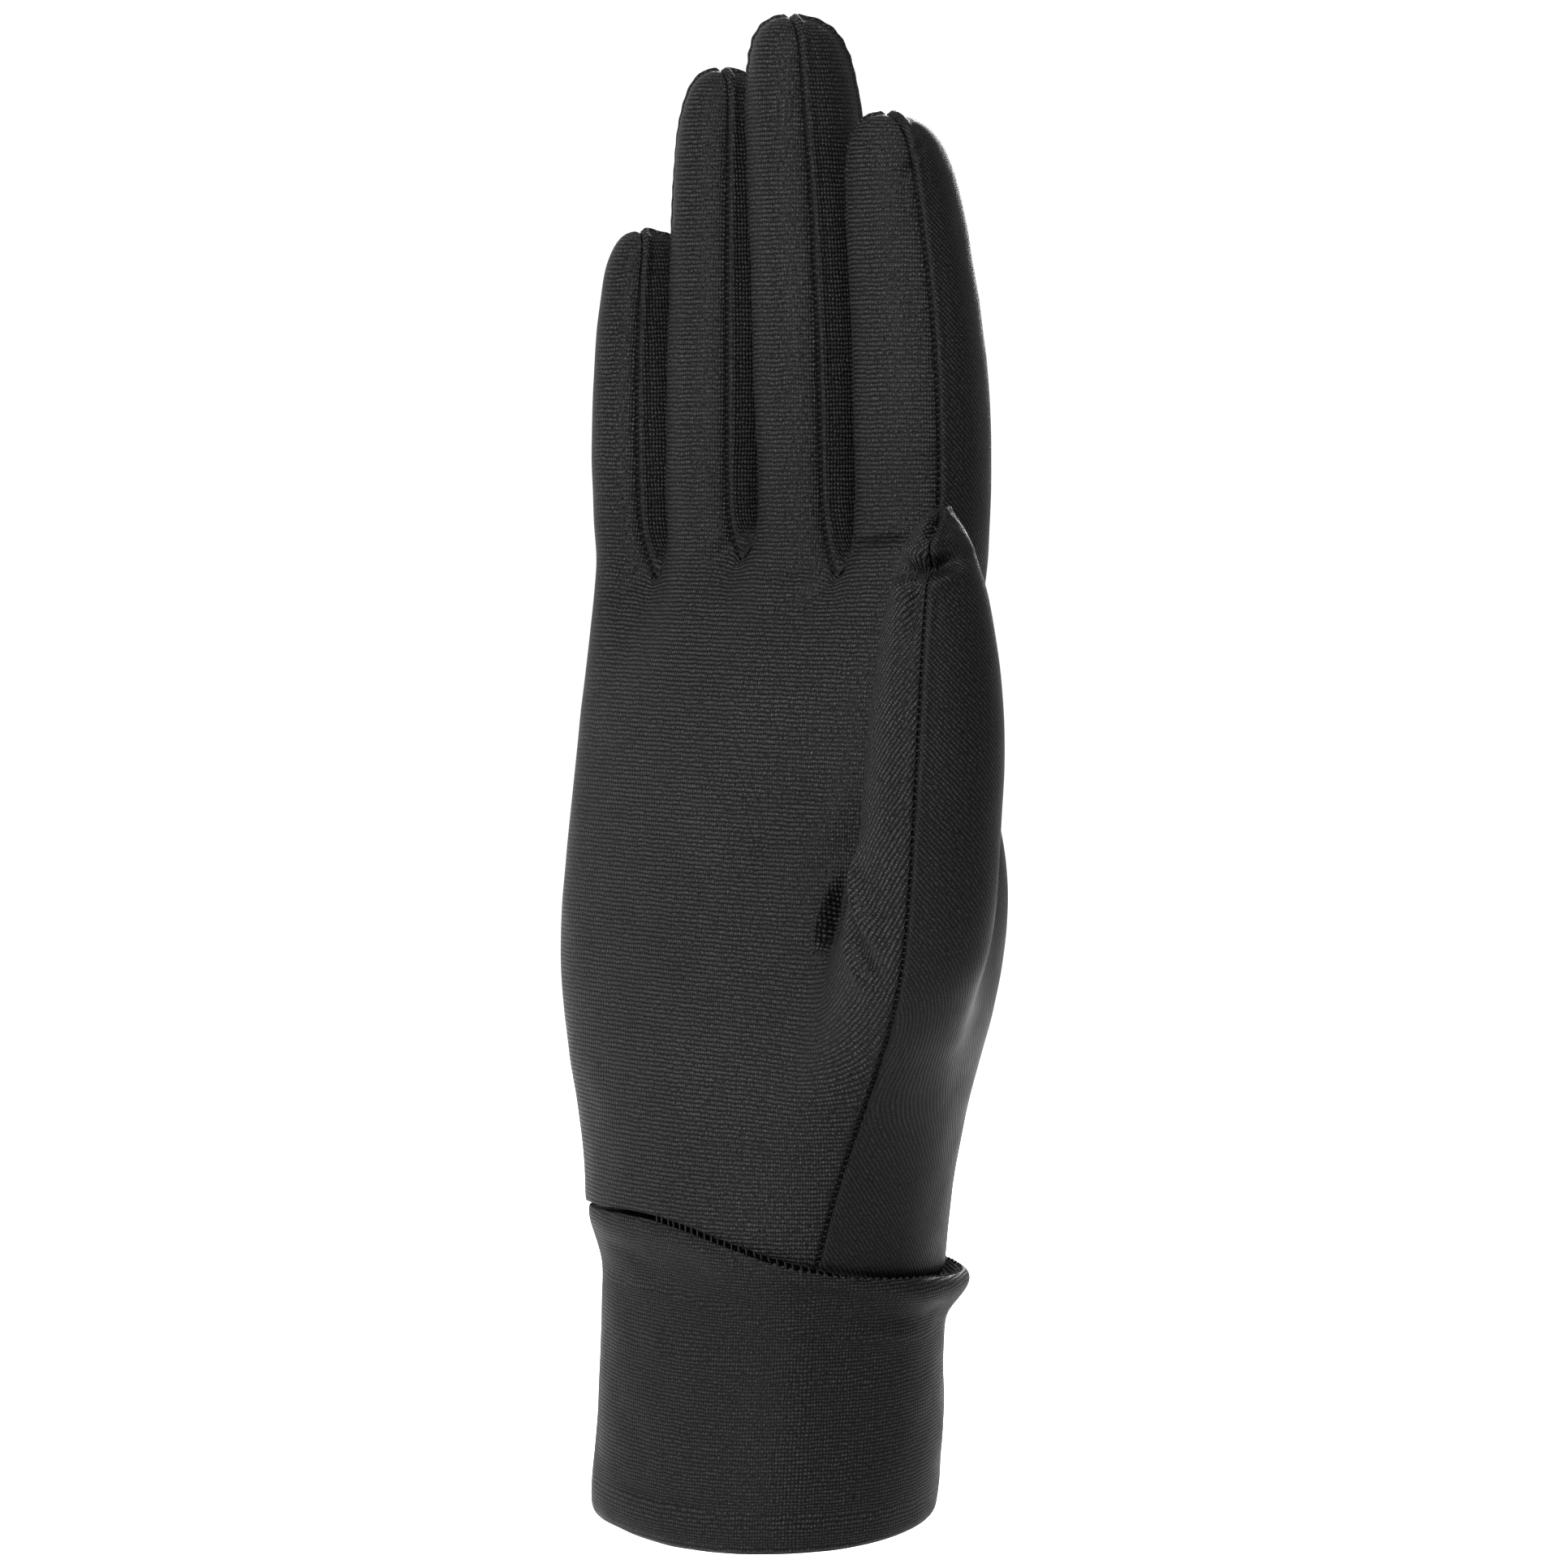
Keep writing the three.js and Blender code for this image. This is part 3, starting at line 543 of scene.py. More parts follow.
def turned(flat, points, panel):
    """The flat pattern turned so that its second axis runs up the hand, or along a strip."""
    plane = flat[:, 0] + 1j * flat[:, 1]
    if panel in STRIPS:
        _, axes = np.linalg.eigh(np.cov(flat.T))
        plane = plane * 1j / complex(*axes[:, 1])
        return np.stack([plane.real, plane.imag], axis=1)
    hand = (points[:, 2] < ROOT_HEIGHT) & (points[:, 0] < FINGERS[-1].root_x)
    there = points[hand, 0] + 1j * points[hand, 2]
    there = there - there.mean()
    tries = []
    for candidate in (plane, plane.conjugate()):
        here = candidate[hand] - candidate[hand].mean()
        turn = np.conjugate(here) @ there
        turn /= abs(turn)
        tries.append((np.abs(here * turn - there).sum(), candidate * turn))
    plane = min(tries, key=lambda entry: entry[0])[1]
    return np.stack([plane.real, plane.imag], axis=1)


def row_directions(normals, panel, thumb):
    """Which way the knit's rows and columns run at each point, and how sure that is.

    The rows are level on the worn glove, and rise to the seam on the palm's half of the thumb.
    """
    level = np.cross((0.0, 0.0, 1.0), normals)
    sureness = (level ** 2).sum(axis=1)
    level = unit(level)
    up = np.cross(normals, level)
    turn = np.radians(THUMB_ROWS) * thumb if panel == PALM else np.zeros(len(thumb))
    cosine, sine = np.cos(turn)[:, None], np.sin(turn)[:, None]
    sureness = sureness * lerp(WEB_SURENESS, 1, 1 - 4 * thumb * (1 - thumb)) + LEAST_SURENESS
    return level * cosine + up * sine, up * cosine - level * sine, sureness


def fitted(values, low, high, weights, count):
    """The coordinate whose steps along the edges come closest to the values."""
    rows = np.zeros((len(values), count))
    order = np.arange(len(values))
    rows[order, high] = weights
    rows[order, low] = -weights
    return np.linalg.lstsq(rows, values * weights, rcond=None)[0]


def straightened(flat, points, normals, faces, panel, thumb):
    """The flat pattern with its rows as the worn cloth shows them."""
    across, up, sureness = row_directions(normals, panel, thumb)
    low, high = edges_of(faces)[0].T
    step = points[high] - points[low]
    weights = (sureness[low] + sureness[high]) / 2
    u, v = (
        fitted((step * (way[low] + way[high])).sum(axis=1) / 2, low, high, weights, len(points))
        for way in (across, up)
    )
    return np.stack([flat[:, 0] if panel in STRIPS else u, v], axis=1)


def flat_patterns(points, faces, panels, thumb):
    """Every panel's flat coordinates, with a face list that has the same order as the glove's.

    The third value is each panel's cut: its width and length, and its area, in metres.
    """
    flat_faces = np.empty_like(faces)
    flat_points, cuts = [], []
    normals = normals_of(points, faces)
    offset = 0
    for panel in range(len(PANEL_NODES)):
        chosen = panels == panel
        used, local = np.unique(faces[chosen], return_inverse=True)
        local = local.reshape(-1, 4)
        flat = turned(flatten(points[used], local), points[used], panel)
        flat_points.append(straightened(flat, points[used], normals[used], local, panel, thumb[used]))
        width, length = (flat.max(axis=0) - flat.min(axis=0)) * MM
        cuts.append(((width, length), face_areas(flat, local).sum() * MM ** 2))
        flat_faces[chosen] = local + offset
        offset += len(used)
    return np.concatenate(flat_points), flat_faces, cuts


# Seams
Seam = namedtuple("Seam", "behind line")
LINE_SPACING = 0.15  # between the places that stand for a line
TANGENT_STEP = 0.4  # how far to each side a fold's direction is taken
TANGENT_HALF = 0.3  # and a seam's
FAR = 1e3  # the distance of a point that no line is near


def seam_chains(faces, panels, between):
    """The seam's points in order, one chain of indices for each open stretch."""
    edges, where, uses = edges_of(faces)
    low = np.full(len(edges), len(PANEL_NODES))
    high = np.full(len(edges), -1)
    np.minimum.at(low, where.ravel(), np.repeat(panels, 4))
    np.maximum.at(high, where.ravel(), np.repeat(panels, 4))
    chosen = edges[between(low, high, uses)]
    beside = {}
    for a, b in chosen.tolist():
        beside.setdefault(a, []).append(b)
        beside.setdefault(b, []).append(a)
    starts = [point for point, near in beside.items() if len(near) != 2]
    chains = []
    used = set()
    for start in sorted(starts) + sorted(beside):
        for step in beside[start]:
            if (start, step) in used:
                continue
            chain = [start, step]
            used.update({(start, step), (step, start)})
            while len(beside[chain[-1]]) == 2:
                one, two = beside[chain[-1]]
                after = two if one == chain[-2] else one
                if (chain[-1], after) in used:
                    break
                used.update({(chain[-1], after), (after, chain[-1])})
                chain.append(after)
            chains.append(chain)
    return chains


class Line:
    """A polyline sampled closely, for distances to it and shares along it."""

    def __init__(self, points):
        self.points = np.asarray(points, float)
        steps = np.linalg.norm(np.diff(self.points, axis=0), axis=1)
        self.reached = np.concatenate([[0], np.cumsum(steps)])
        self.length = self.reached[-1]
        closely = np.linspace(0, self.length, max(3, int(self.length / LINE_SPACING) + 2))
        self.points, self.reached = self.at(closely), closely

    def at(self, reached):
        """The place, or the places, that far along the line."""
        columns = [np.interp(reached, self.reached, self.points[:, axis]) for axis in range(3)]
        return np.stack(columns, axis=-1)


def nearest(lines, points, reach):
    """For each point: the distance to the lines, how far along its line, which line, and the place."""
    places = np.concatenate([line.points for line in lines])
    along = np.concatenate([line.reached for line in lines])
    owner = np.repeat(np.arange(len(lines)), [len(line.points) for line in lines])
    tree = KDTree(len(places))
    for index, place in enumerate(places):
        tree.insert(place, index)
    tree.balance()
    low, high = places.min(axis=0) - reach, places.max(axis=0) + reach
    near = np.nonzero(((points > low) & (points < high)).all(axis=1))[0]
    distance = np.full(len(points), FAR)
    index = np.zeros(len(points), int)
    for at in near.tolist():
        _, found, gap = tree.find(points[at])
        distance[at] = gap
        index[at] = found
    return distance, along[index], owner[index], places[index]


# The groove of the glove's lower edge, which is drawn in where the roll stands proud and keeps its
# least share on the far side. Above the limit it is nothing.
WRIST_GROOVE = 1.1
WRIST_GROOVE_WIDTH = 1.3
WRIST_GROOVE_LEAST = 0.1
WRIST_GROOVE_LIMIT = 14
WRIST_RADIUS = 24

# The cloth beside a seam. The panel in front sinks into a soft valley, and the one behind it stands
# up in a narrow rolled rib, which is fuller at the tips of the fingers. There the valley and the
# sunk edge lose the given share.
SEAM_REACH = 8.0
SEAM_VALLEY = 0.45
SEAM_VALLEY_WIDTH = 0.65
SEAM_EDGE = 0.25
SEAM_EDGE_WIDTH = 0.4
SEAM_RIB = 0.25
SEAM_RIB_AT = 0.9
SEAM_RIB_WIDTH = 0.6
TIP_RIB = 0.35
TIP_REACH = 16.0
TIP_START = 0.25  # the share of the reach within which a place counts fully as a tip
TIP_VALLEY_LOSS = 0.75
TIP_EDGE_LOSS = 0.6

# The small waves that a seam gathers the cloth into, which start at another place on each seam
GATHER_PITCH = 2.6
GATHER_HEIGHT = 0.05
GATHER_REACH = 2.6
GATHER_START = 0.8
GATHER_OFFSET = 2.4
GATHER_MEAN = 0.6
GATHER_MOST = 1.5
TIP_GATHER_HEIGHT = 0.04

# Smooth noise: how high its lumps are, how wide, and its seed. The cloth's unevenness is the sum of
# two, and one each goes into the gathers' drift and strength.
Waves = namedtuple("Waves", "height size seed")
GLOVE_WAVES = [Waves(0.2, 17.0, 1), Waves(0.06, 5.0, 2)]
CUFF_WAVES = [Waves(0.25, 14.0, 5), Waves(0.08, 4.5, 6)]
GATHER_DRIFT = [Waves(2.2, 7.0, 3)]
GATHER_STRENGTH = [Waves(1.0, 9.0, 4)]
NOISE_CELLS = 16
NOISE_RANGE = 1.3
NOISE_SHIFT = 0.37

# The band of turned-in cloth behind a seam: its width, and how deep its two faces lie
ALLOWANCE_STEP = 1.0
ALLOWANCE_WIDTH = 2.4
ALLOWANCE_TOP = 1.05
ALLOWANCE_FOOT = 1.45
ALLOWANCE_CORNERS = ((-1, ALLOWANCE_TOP), (1, ALLOWANCE_TOP), (1, ALLOWANCE_FOOT), (-1, ALLOWANCE_FOOT))

# Threads that cross a seam, the longer ones that whip the wrist seam to the rolled cuff, and the
# short stitches that lie along the top of the roll where it stands proud
Thread = namedtuple("Thread", "pitch length radius slant")
SEAM_THREAD = Thread(1.05, 0.9, 0.11, 0.2)
WRIST_THREAD = Thread(1.25, 1.5, 0.12, 0.12)
THREADS_END = 0.3  # how close to a tip they run, from 0 to 1
THREADS_FROM = 0.5  # the first one lies this far along its seam
THREADS_SHORT = 0.4  # and the last at least this far before its end
THREAD_JITTER = 0.12
WRIST_JITTER = 0.1
ROLL_STITCH = Thread(1.25, 0.85, 0.24, 0.15)
WRIST_THREAD_FROM = -0.74  # threads show where the seam faces this much towards its low side
ROLL_STITCH_FROM = 0.05  # and stitches on the roll from here on
ROLL_REACH = 3.0  # how far out and up from the seam the top of the roll lies where it is fullest
ROLL_OUT = 0.2  # and how much more everywhere, so that the stitches find its top
ROLL_UP = 1.2
WHIP_ABOVE = 0.6  # where a whipping thread looks for the glove, and where for the roll
WHIP_OUT = 0.9
WHIP_BELOW = 0.5
WHIP_HIGH_LIFT = 0.5  # how far its ends stand off the cloth, of its radius
WHIP_LOW_LIFT = 0.3
WHIP_LEAN = 0.6
THREAD_SIDES = 6
BarRing = namedtuple("BarRing", "along size bow")
THREAD_BAR = [
    BarRing(0.0, 0.4, -0.6), BarRing(0.3, 1.0, 0.0), BarRing(0.7, 1.0, 0.0), BarRing(1.0, 0.4, -0.6),
]

# Folds of the cloth. Each is a line of points on the glove, with how far the cloth sinks (or rises,
# where it is above zero) along it, how wide, and the lip: a raised or sunk band beside it, on the
# left of the way the points go where lip_at is below zero and on the right where it is above.
Fold = namedtuple("Fold", "depth width lip lip_at lip_width points")
FOLD_END = 0.15  # the share of its height that a fold keeps at its ends
FOLD_FADE = 0.35  # the share of its length over which it fades
FOLD_SIDE = 1.6  # how fast it fades where the cloth turns away
FOLD_REACH = 3.0  # how far it is followed, in its widths
FACING_SKIP = 4  # which way the cloth faces is looked up at every fourth place along it
FOLDS = {
    "thumb_web_pit": Fold(-3.2, 0.9, 1.3, 2.1, 0.8, [
        (32.4, -13.0, 104.6), (31.5, -14.1, 101.2), (31.1, -15.3, 98.0),
        (31.0, -16.2, 95.0), (31.9, -17.0, 92.0)]),
    "thumb_web_ridge": Fold(1.5, 1.4, -1.1, 2.6, 1.2, [
        (46.3, -23.5, 111.5), (44.5, -23.0, 107.5), (45.6, -23.8, 102.7),
        (48.6, -23.8, 98.6), (51.6, -22.9, 94.6)]),
    "thumb_web_valley": Fold(-1.3, 1.2, 0.6, 2.5, 1.2, [
        (43.4, -23.0, 99.2), (44.6, -23.4, 96.3), (47.0, -23.3, 92.6), (50.2, -22.6, 89.5)]),
    "palm_ridge": Fold(1.1, 4.2, -0.5, 7.5, 3.5, [
        (33.7, -11.5, 119.3), (28.9, -13.6, 113.1), (24.5, -15.3, 106.8), (20.8, -16.9, 100.5)]),
    "middle_root_ridge": Fold(0.5, 1.9, -0.45, 3.0, 1.4, [
        (21.6, -8.0, 149.6), (18.6, -9.0, 147.7), (15.0, -10.9, 145.0)]),
    "ring_root_crease": Fold(-0.6, 1.1, 0.4, 2.4, 1.4, [
        (1.9, -6.3, 154.2), (-0.4, -8.6, 152.2), (-3.4, -10.2, 150.1)]),
    "little_root_crease": Fold(-0.45, 1.2, 0.3, 2.4, 1.4, [
        (-17.5, -8.0, 149.2), (-20.1, -9.8, 146.7), (-23.5, -10.9, 144.3)]),
    "index_root_crease": Fold(-1.6, 0.65, 0.4, -1.8, 1.0, [
        (25.6, -5.4, 153.6), (28.5, -6.4, 153.9), (32.7, -8.1, 154.5),
        (36.4, -7.4, 154.9), (39.5, -5.0, 155.2)]),
    "thumb_hood_crease": Fold(-3.0, 1.35, 0.8, -2.8, 1.6, [
        (48.7, -17.9, 151.2), (51.1, -20.0, 151.5), (53.6, -20.5, 151.4),
        (55.3, -20.0, 151.6), (57.7, -18.1, 152.2), (58.9, -15.6, 153.2), (59.3, -13.4, 154.0)]),
    "thumb_left_ridge": Fold(0.8, 1.2, 0.0, 3.0, 1.0, [
        (50.6, -20.0, 149.0), (51.9, -20.6, 148.0), (52.9, -21.2, 146.4)]),
    "thumb_right_ridge": Fold(0.8, 1.3, 0.0, 3.0, 1.0, [
        (59.0, -15.6, 151.2), (57.6, -18.0, 149.6), (56.6, -19.9, 147.4)]),
    "thumb_under_hood": Fold(-1.5, 1.3, 0.0, 3.0, 1.0, [
        (55.1, -20.3, 150.6), (54.9, -20.9, 148.2), (54.6, -21.5, 145.0), (54.3, -22.2, 140.5)]),
    "thumb_tip_slit": Fold(-1.3, 0.7, 0.35, 1.6, 0.6, [
        (54.5, -14.8, 161.5), (55.0, -16.4, 158.6), (55.0, -17.5, 156.8), (55.1, -18.6, 155.0)]),
    "index_tip_dimple": Fold(-0.6, 2.6, 0.3, 4.0, 1.6, [
        (37.6, -6.2, 211.0), (38.2, -5.6, 210.6), (38.8, -5.0, 210.2)]),
    "middle_side_slit": Fold(-0.5, 0.5, 0.15, 1.3, 0.7, [
        (20.6, -6.4, 181.5), (21.3, -5.4, 181.7), (22.2, -2.9, 182.2)]),
}

CUFF_FOLDS = {
    "under_the_roll": Fold(-0.7, 2.0, 0.2, 5.0, 2.5, [
        (17.0, -22.0, 42.6), (26.5, -15.0, 40.2), (32.0, -4.0, 38.2), (31.0, 9.0, 35.6), (24.0, 18.0, 34.6)]),
    "left_of_the_roll": Fold(-0.35, 1.4, 0.15, 3.5, 1.6, [
        (-16.0, -19.8, 45.0), (-9.0, -22.0, 44.5), (-1.9, -23.0, 43.0)]),
    "middle_crease": Fold(-0.4, 1.3, 0.3, 3.0, 1.6, [
        (21.3, -16.5, 34.8), (25.0, -12.5, 33.4), (28.0, -8.0, 32.7)]),
    "side_crease": Fold(-0.4, 1.2, 0.3, 2.8, 1.4, [
        (26.1, -12.8, 36.4), (31.6, -4.2, 36.0), (32.3, 7.1, 34.5)]),
    "hem_line": Fold(-0.12, 0.6, 0.08, 1.4, 0.8, [
        (-12.0, -21.0, 8.4), (-1.2, -22.8, 7.7), (12.1, -21.5, 7.6), (20.7, -17.6, 7.9)]),
}


def snapped(points, tree):
    """The points moved onto the surface."""
    return [np.array(tree.find_nearest(Vector(point))[0]) for point in points]


def fold_height(fold, points, normals, tree):
    """How far one fold lifts each point."""
    line = Line(snapped(fold.points, tree))
    reach = FOLD_REACH * max(fold.width, fold.lip_at + fold.lip_width)
    distance, along, _, place = nearest([line], points, reach)
    ahead = np.clip(along + TANGENT_STEP, 0, line.length)
    behind = np.clip(along - TANGENT_STEP, 0, line.length)
    side = unit(np.cross(unit(line.at(ahead) - line.at(behind)), normals))
    signed = np.sign(((points - place) * side).sum(axis=1)) * distance
    ends = np.minimum(along, line.length - along) / (FOLD_FADE * line.length)
    fade = lerp(FOLD_END, 1, smoothstep(ends))
    middle = fold.depth * np.exp(-(distance / fold.width) ** 2)
    band = fold.lip * np.exp(-((signed - fold.lip_at) / fold.lip_width) ** 2)
    below = np.array([tree.find_nearest(Vector(point))[1] for point in line.points[::FACING_SKIP]])
    last = len(below) - 1
    facing = below[np.clip((along / line.length * last).astype(int), 0, last)]
    same_side = smoothstep((normals * facing).sum(axis=1) * FOLD_SIDE)
    return (middle + band) * fade * same_side


def soft_noise(points, waves):
    """The sum of the waves at each point."""
    total = np.zeros(len(points))
    for wave in waves:
        table = np.random.default_rng(wave.seed).uniform(-NOISE_RANGE, NOISE_RANGE, (NOISE_CELLS,) * 3)
        scaled = points / wave.size + NOISE_SHIFT * wave.seed
        base = np.floor(scaled).astype(int)
        part = smoothstep(scaled - base)
        noise = np.zeros(len(points))
        for corner in itertools.product((0, 1), repeat=3):
            at = (base + corner) % NOISE_CELLS
            weight = np.where(np.array(corner, bool), part, 1 - part).prod(axis=1)
            noise += table[at[:, 0], at[:, 1], at[:, 2]] * weight
        total += wave.height * noise
    return total


def surface_tree(points, faces):
    return BVHTree.FromPolygons(points.tolist(), faces.tolist())


def sewn_seams(points, faces, panels):
    """Every sewn line, with the panel behind it."""
    seams = []
    for front, behind in itertools.combinations(range(len(PANEL_NODES)), 2):
        chains = seam_chains(faces, panels, lambda low, high, uses: (low == front) & (high == behind))
        seams += [Seam(behind, Line(points[chain])) for chain in chains]
    return seams


def near_tips(points):
    """1 by the tips of the fingers and the thumb, and 0 from somewhat beyond their reach on."""
    tips = np.array([(f.tip_x, f.tip_y, f.tip_height) for f in FINGERS] + [THUMB_TIP])
    gap = np.min(np.linalg.norm(points[:, None, :] - tips[None, :, :], axis=2), axis=1)
    return smoothstep(1 + TIP_START - gap / TIP_REACH)


def shaped(points, faces, normals, waves, folds):
    """How far the cloth's unevenness and its folds lift each point."""
    height = soft_noise(points, waves)
    tree = surface_tree(points, faces)
    for fold in folds.values():
        height += fold_height(fold, points, normals, tree)
    return height


def shape_glove(points, faces, normals):
    """The same with the groove at the wrist, for the glove."""
    height = shaped(points, faces, normals, GLOVE_WAVES, FOLDS)
    near_wrist = points[:, 2] < WRIST_HEIGHT + WRIST_GROOVE_LIMIT
    flat, z = points[near_wrist, :2], points[near_wrist, 2]
    above = z - np.array([seam_height(*place) for place in flat])
    proud = smoothstep(0.5 + 0.5 * (flat @ WRIST_TOWARDS) / WRIST_RADIUS)
    groove = WRIST_GROOVE * lerp(WRIST_GROOVE_LEAST, 1, proud)
    height[near_wrist] -= groove * np.exp(-(above / WRIST_GROOVE_WIDTH) ** 2)
    return height


def seam_relief(points, seams):
    """How far the seams lift each point, in a row for the panel in front and a row for the one behind."""
    distance, along, owner, _ = nearest([seam.line for seam in seams], points, SEAM_REACH)
    at_tip = near_tips(points)
    phase = soft_noise(points, GATHER_DRIFT) + owner * GATHER_OFFSET
    wave = np.sin(along * math.tau / GATHER_PITCH + phase)
    strength = np.clip(GATHER_MEAN + soft_noise(points, GATHER_STRENGTH), 0, GATHER_MOST)
    gathers = (GATHER_HEIGHT + TIP_GATHER_HEIGHT * at_tip) * strength * wave
    gathers *= np.exp(-(distance / GATHER_REACH) ** 2) * smoothstep(distance / GATHER_START)
    valley = -SEAM_VALLEY * (1 - TIP_VALLEY_LOSS * at_tip) * np.exp(-(distance / SEAM_VALLEY_WIDTH) ** 2)
    rib = (SEAM_RIB + TIP_RIB * at_tip) * np.exp(-((distance - SEAM_RIB_AT) / SEAM_RIB_WIDTH) ** 2)
    edge = -SEAM_EDGE * (1 - TIP_EDGE_LOSS * at_tip) * np.exp(-(distance / SEAM_EDGE_WIDTH) ** 2)
    return np.stack([valley + gathers, rib + edge + gathers]), owner


# Meshes


def in_scene(name, data):
    """A new object with that data, linked to the scene."""
    made = bpy.data.objects.new(name, data)
    bpy.context.scene.collection.objects.link(made)
    return made


def mesh_object(name, points, faces, flat=None):
    """A smooth mesh object from points in millimetres, with the flat pattern as its map."""
    mesh = bpy.data.meshes.new(name)
    mesh.from_pydata((points * MM).tolist(), [], faces)
    mesh.polygons.foreach_set("use_smooth", [True] * len(mesh.polygons))
    if flat is not None:
        layer = mesh.uv_layers.new(name="cloth")
        layer.uv.foreach_set("vector", flat.astype(np.float32).ravel())
    mesh.update()
    return in_scene(name, mesh)


def panel_wall(name, panel, outer, inner, faces, panels, inner_faces, inner_panels, flat_points, flat_faces):
    """One panel: its outer face, its plainer inner face and its cut edges, drawn back by half the gap."""
    chosen = faces[panels == panel]
    chosen_inner = inner_faces[inner_panels == panel]
    used, local = np.unique(chosen, return_inverse=True)
    local = local.reshape(-1, 4)
    local_inner = np.searchsorted(used, chosen_inner)
    flat = flat_points[flat_faces[panels == panel]]
    out, back = outer[used].copy(), inner[used].copy()
    edges, where, uses = edges_of(local)
    middles = out[local].mean(axis=1)
    rim_points = np.zeros(len(used), bool)
    rim_points[edges[uses == 1].ravel()] = True
    pull = gather(local.ravel(), np.repeat(middles, 4, axis=0), len(used))
    pull = unit(pull / np.bincount(local.ravel(), minlength=len(used))[:, None] - out)
    half_gap = SEAM_GAP / 2 * (1 - TIP_CLOSED * near_tips(out[rim_points]))[:, None]
    out[rim_points] += pull[rim_points] * half_gap
    back[rim_points] += pull[rim_points] * half_gap
    inner_used, inner_local = np.unique(local_inner, return_inverse=True)
    inner_local = inner_local.reshape(-1, 4)
    count = len(used)
    inner_at = np.full(count, -1)
    inner_at[inner_used] = np.arange(len(inner_used)) + count
    # Each cut edge runs along several fine edges outside and one plain edge inside.
    after = {}
    flat_at = {}
    for face, side in np.argwhere(uses[where] == 1).tolist():
        a, b = int(local[face, side]), int(local[face, (side + 1) % 4])
        after[a] = b
        flat_at[a] = flat[face, side]
        flat_at[b] = flat[face, (side + 1) % 4]
    sides, sides_flat = [], []
    for start in after:
        if inner_at[start] < 0:
            continue
        run = [start]
        while len(run) == 1 or inner_at[run[-1]] < 0:
            run.append(after[run[-1]])
        sides.append([*run[::-1], int(inner_at[run[0]]), int(inner_at[run[-1]])])
        sides_flat += [flat_at[at] for at in [*run[::-1], run[0], run[-1]]]
    flat_of = np.zeros((count, 2))
    flat_of[local.ravel()] = flat.reshape(-1, 2)
    inner_faces_made = inner_local[:, ::-1] + count
    inner_flat = flat_of[inner_used[inner_local[:, ::-1]]].reshape(-1, 2)
    every = [*local.tolist(), *inner_faces_made.tolist(), *sides]
    every_flat = np.concatenate([flat.reshape(-1, 2), inner_flat, np.array(sides_flat)])
    return mesh_object(name, np.concatenate([out, back[inner_used]]), every, every_flat)


def glove_panels():
    cage = glove_cage()
    points, faces = np.array(cage.points), np.array(cage.faces)
    panels = np.array(cage.panels)
    thumb = (np.arange(len(points)) >= cage.thumb_from).astype(float)
    points = np.concatenate([points, thumb[:, None]], axis=1)
    for _ in range(CAGE_ROUNDS):
        points, faces = divide(points, faces)
        panels = np.repeat(panels, 4)
    points, thumb = points[:, :3], np.clip(points[:, 3], 0, 1)
    flat_points, flat_faces, cuts = flat_patterns(settle(points, faces), faces, panels, thumb)
    for finer in range(FINE_ROUNDS):
        if finer == INNER_ROUNDS:
            inner_faces, inner_panels = faces, panels
        points, faces = divide(points, faces)
        flat_points, flat_faces = divide(flat_points, flat_faces)
        panels = np.repeat(panels, 4)
    points = settle(points, faces)
    normals = normals_of(points, faces)
    height = shape_glove(points, faces, normals)
    seams = sewn_seams(points, faces, panels)
    relief, owner = seam_relief(points, seams)
    behind = np.array([seam.behind for seam in seams])[owner]
    pieces = []
    for panel, node in enumerate(PANEL_NODES):
        lift = height + np.where(behind == panel, relief[1], relief[0])
        outer = points + normals * lift[:, None]
        inner = points + normals * (height - CLOTH)[:, None]
        piece = panel_wall(
            node + "_cloth", panel, outer, inner, faces, panels, inner_faces, inner_panels,
            flat_points, flat_faces)
        pieces.append((piece, *cuts[panel]))
    rims = seam_chains(faces, panels, lambda low, high, uses: uses == 1)
    folded = points + normals * height[:, None]
    surface = surface_tree(folded, faces)
    return pieces, sewn_seams(folded, faces, panels), [Line(folded[chain]) for chain in rims], surface


def cuff_tube():
    cage = cuff_cage()
    points, faces = np.array(cage.points), np.array(cage.faces)
    rings, columns = len(CUFF_PROFILE), HAND_COLUMNS
    # The flat pattern of the tube: once round, and from the hem up the outside and down the inside.
    grid = settle(points, faces).reshape(rings, columns, 3)
    round_step = np.linalg.norm(np.roll(grid, -1, axis=1) - grid, axis=2).mean(axis=0)
    up_step = np.linalg.norm(np.roll(grid, -1, axis=0) - grid, axis=2)
    across = np.concatenate([[0], np.cumsum(round_step)])
    along = np.concatenate([np.zeros((1, columns)), np.cumsum(up_step, axis=0)])
    flat = []
    for ring in range(rings):
        for column in range(columns):
            after = (column + 1) % columns
            flat.append([
                (across[column], along[ring, column]), (across[column + 1], along[ring, after]),
                (across[column + 1], along[ring + 1, after]), (across[column], along[ring + 1, column])])
    flat = np.array(flat)
    for _ in range(CAGE_ROUNDS + FINE_ROUNDS):
        points, faces = divide(points, faces)
        after, before = np.roll(flat, -1, axis=1), np.roll(flat, 1, axis=1)
        middle = flat.mean(axis=1)
        children = [np.stack([
            flat[:, corner], (flat[:, corner] + after[:, corner]) / 2,
            middle, (flat[:, corner] + before[:, corner]) / 2], axis=1) for corner in range(4)]
        flat = np.stack(children, axis=1).reshape(-1, 4, 2)
    points = settle(points, faces)
    normals = normals_of(points, faces)
    points = points + normals * shaped(points, faces, normals, CUFF_WAVES, CUFF_FOLDS)[:, None]
    size = (across[-1] * MM, along[-1].mean() / 2 * MM)  # as folded in half: its cut is twice as long
    return (mesh_object("cuff_cloth", points, faces.tolist(), flat.reshape(-1, 2)), size, None), points, faces


# Threads


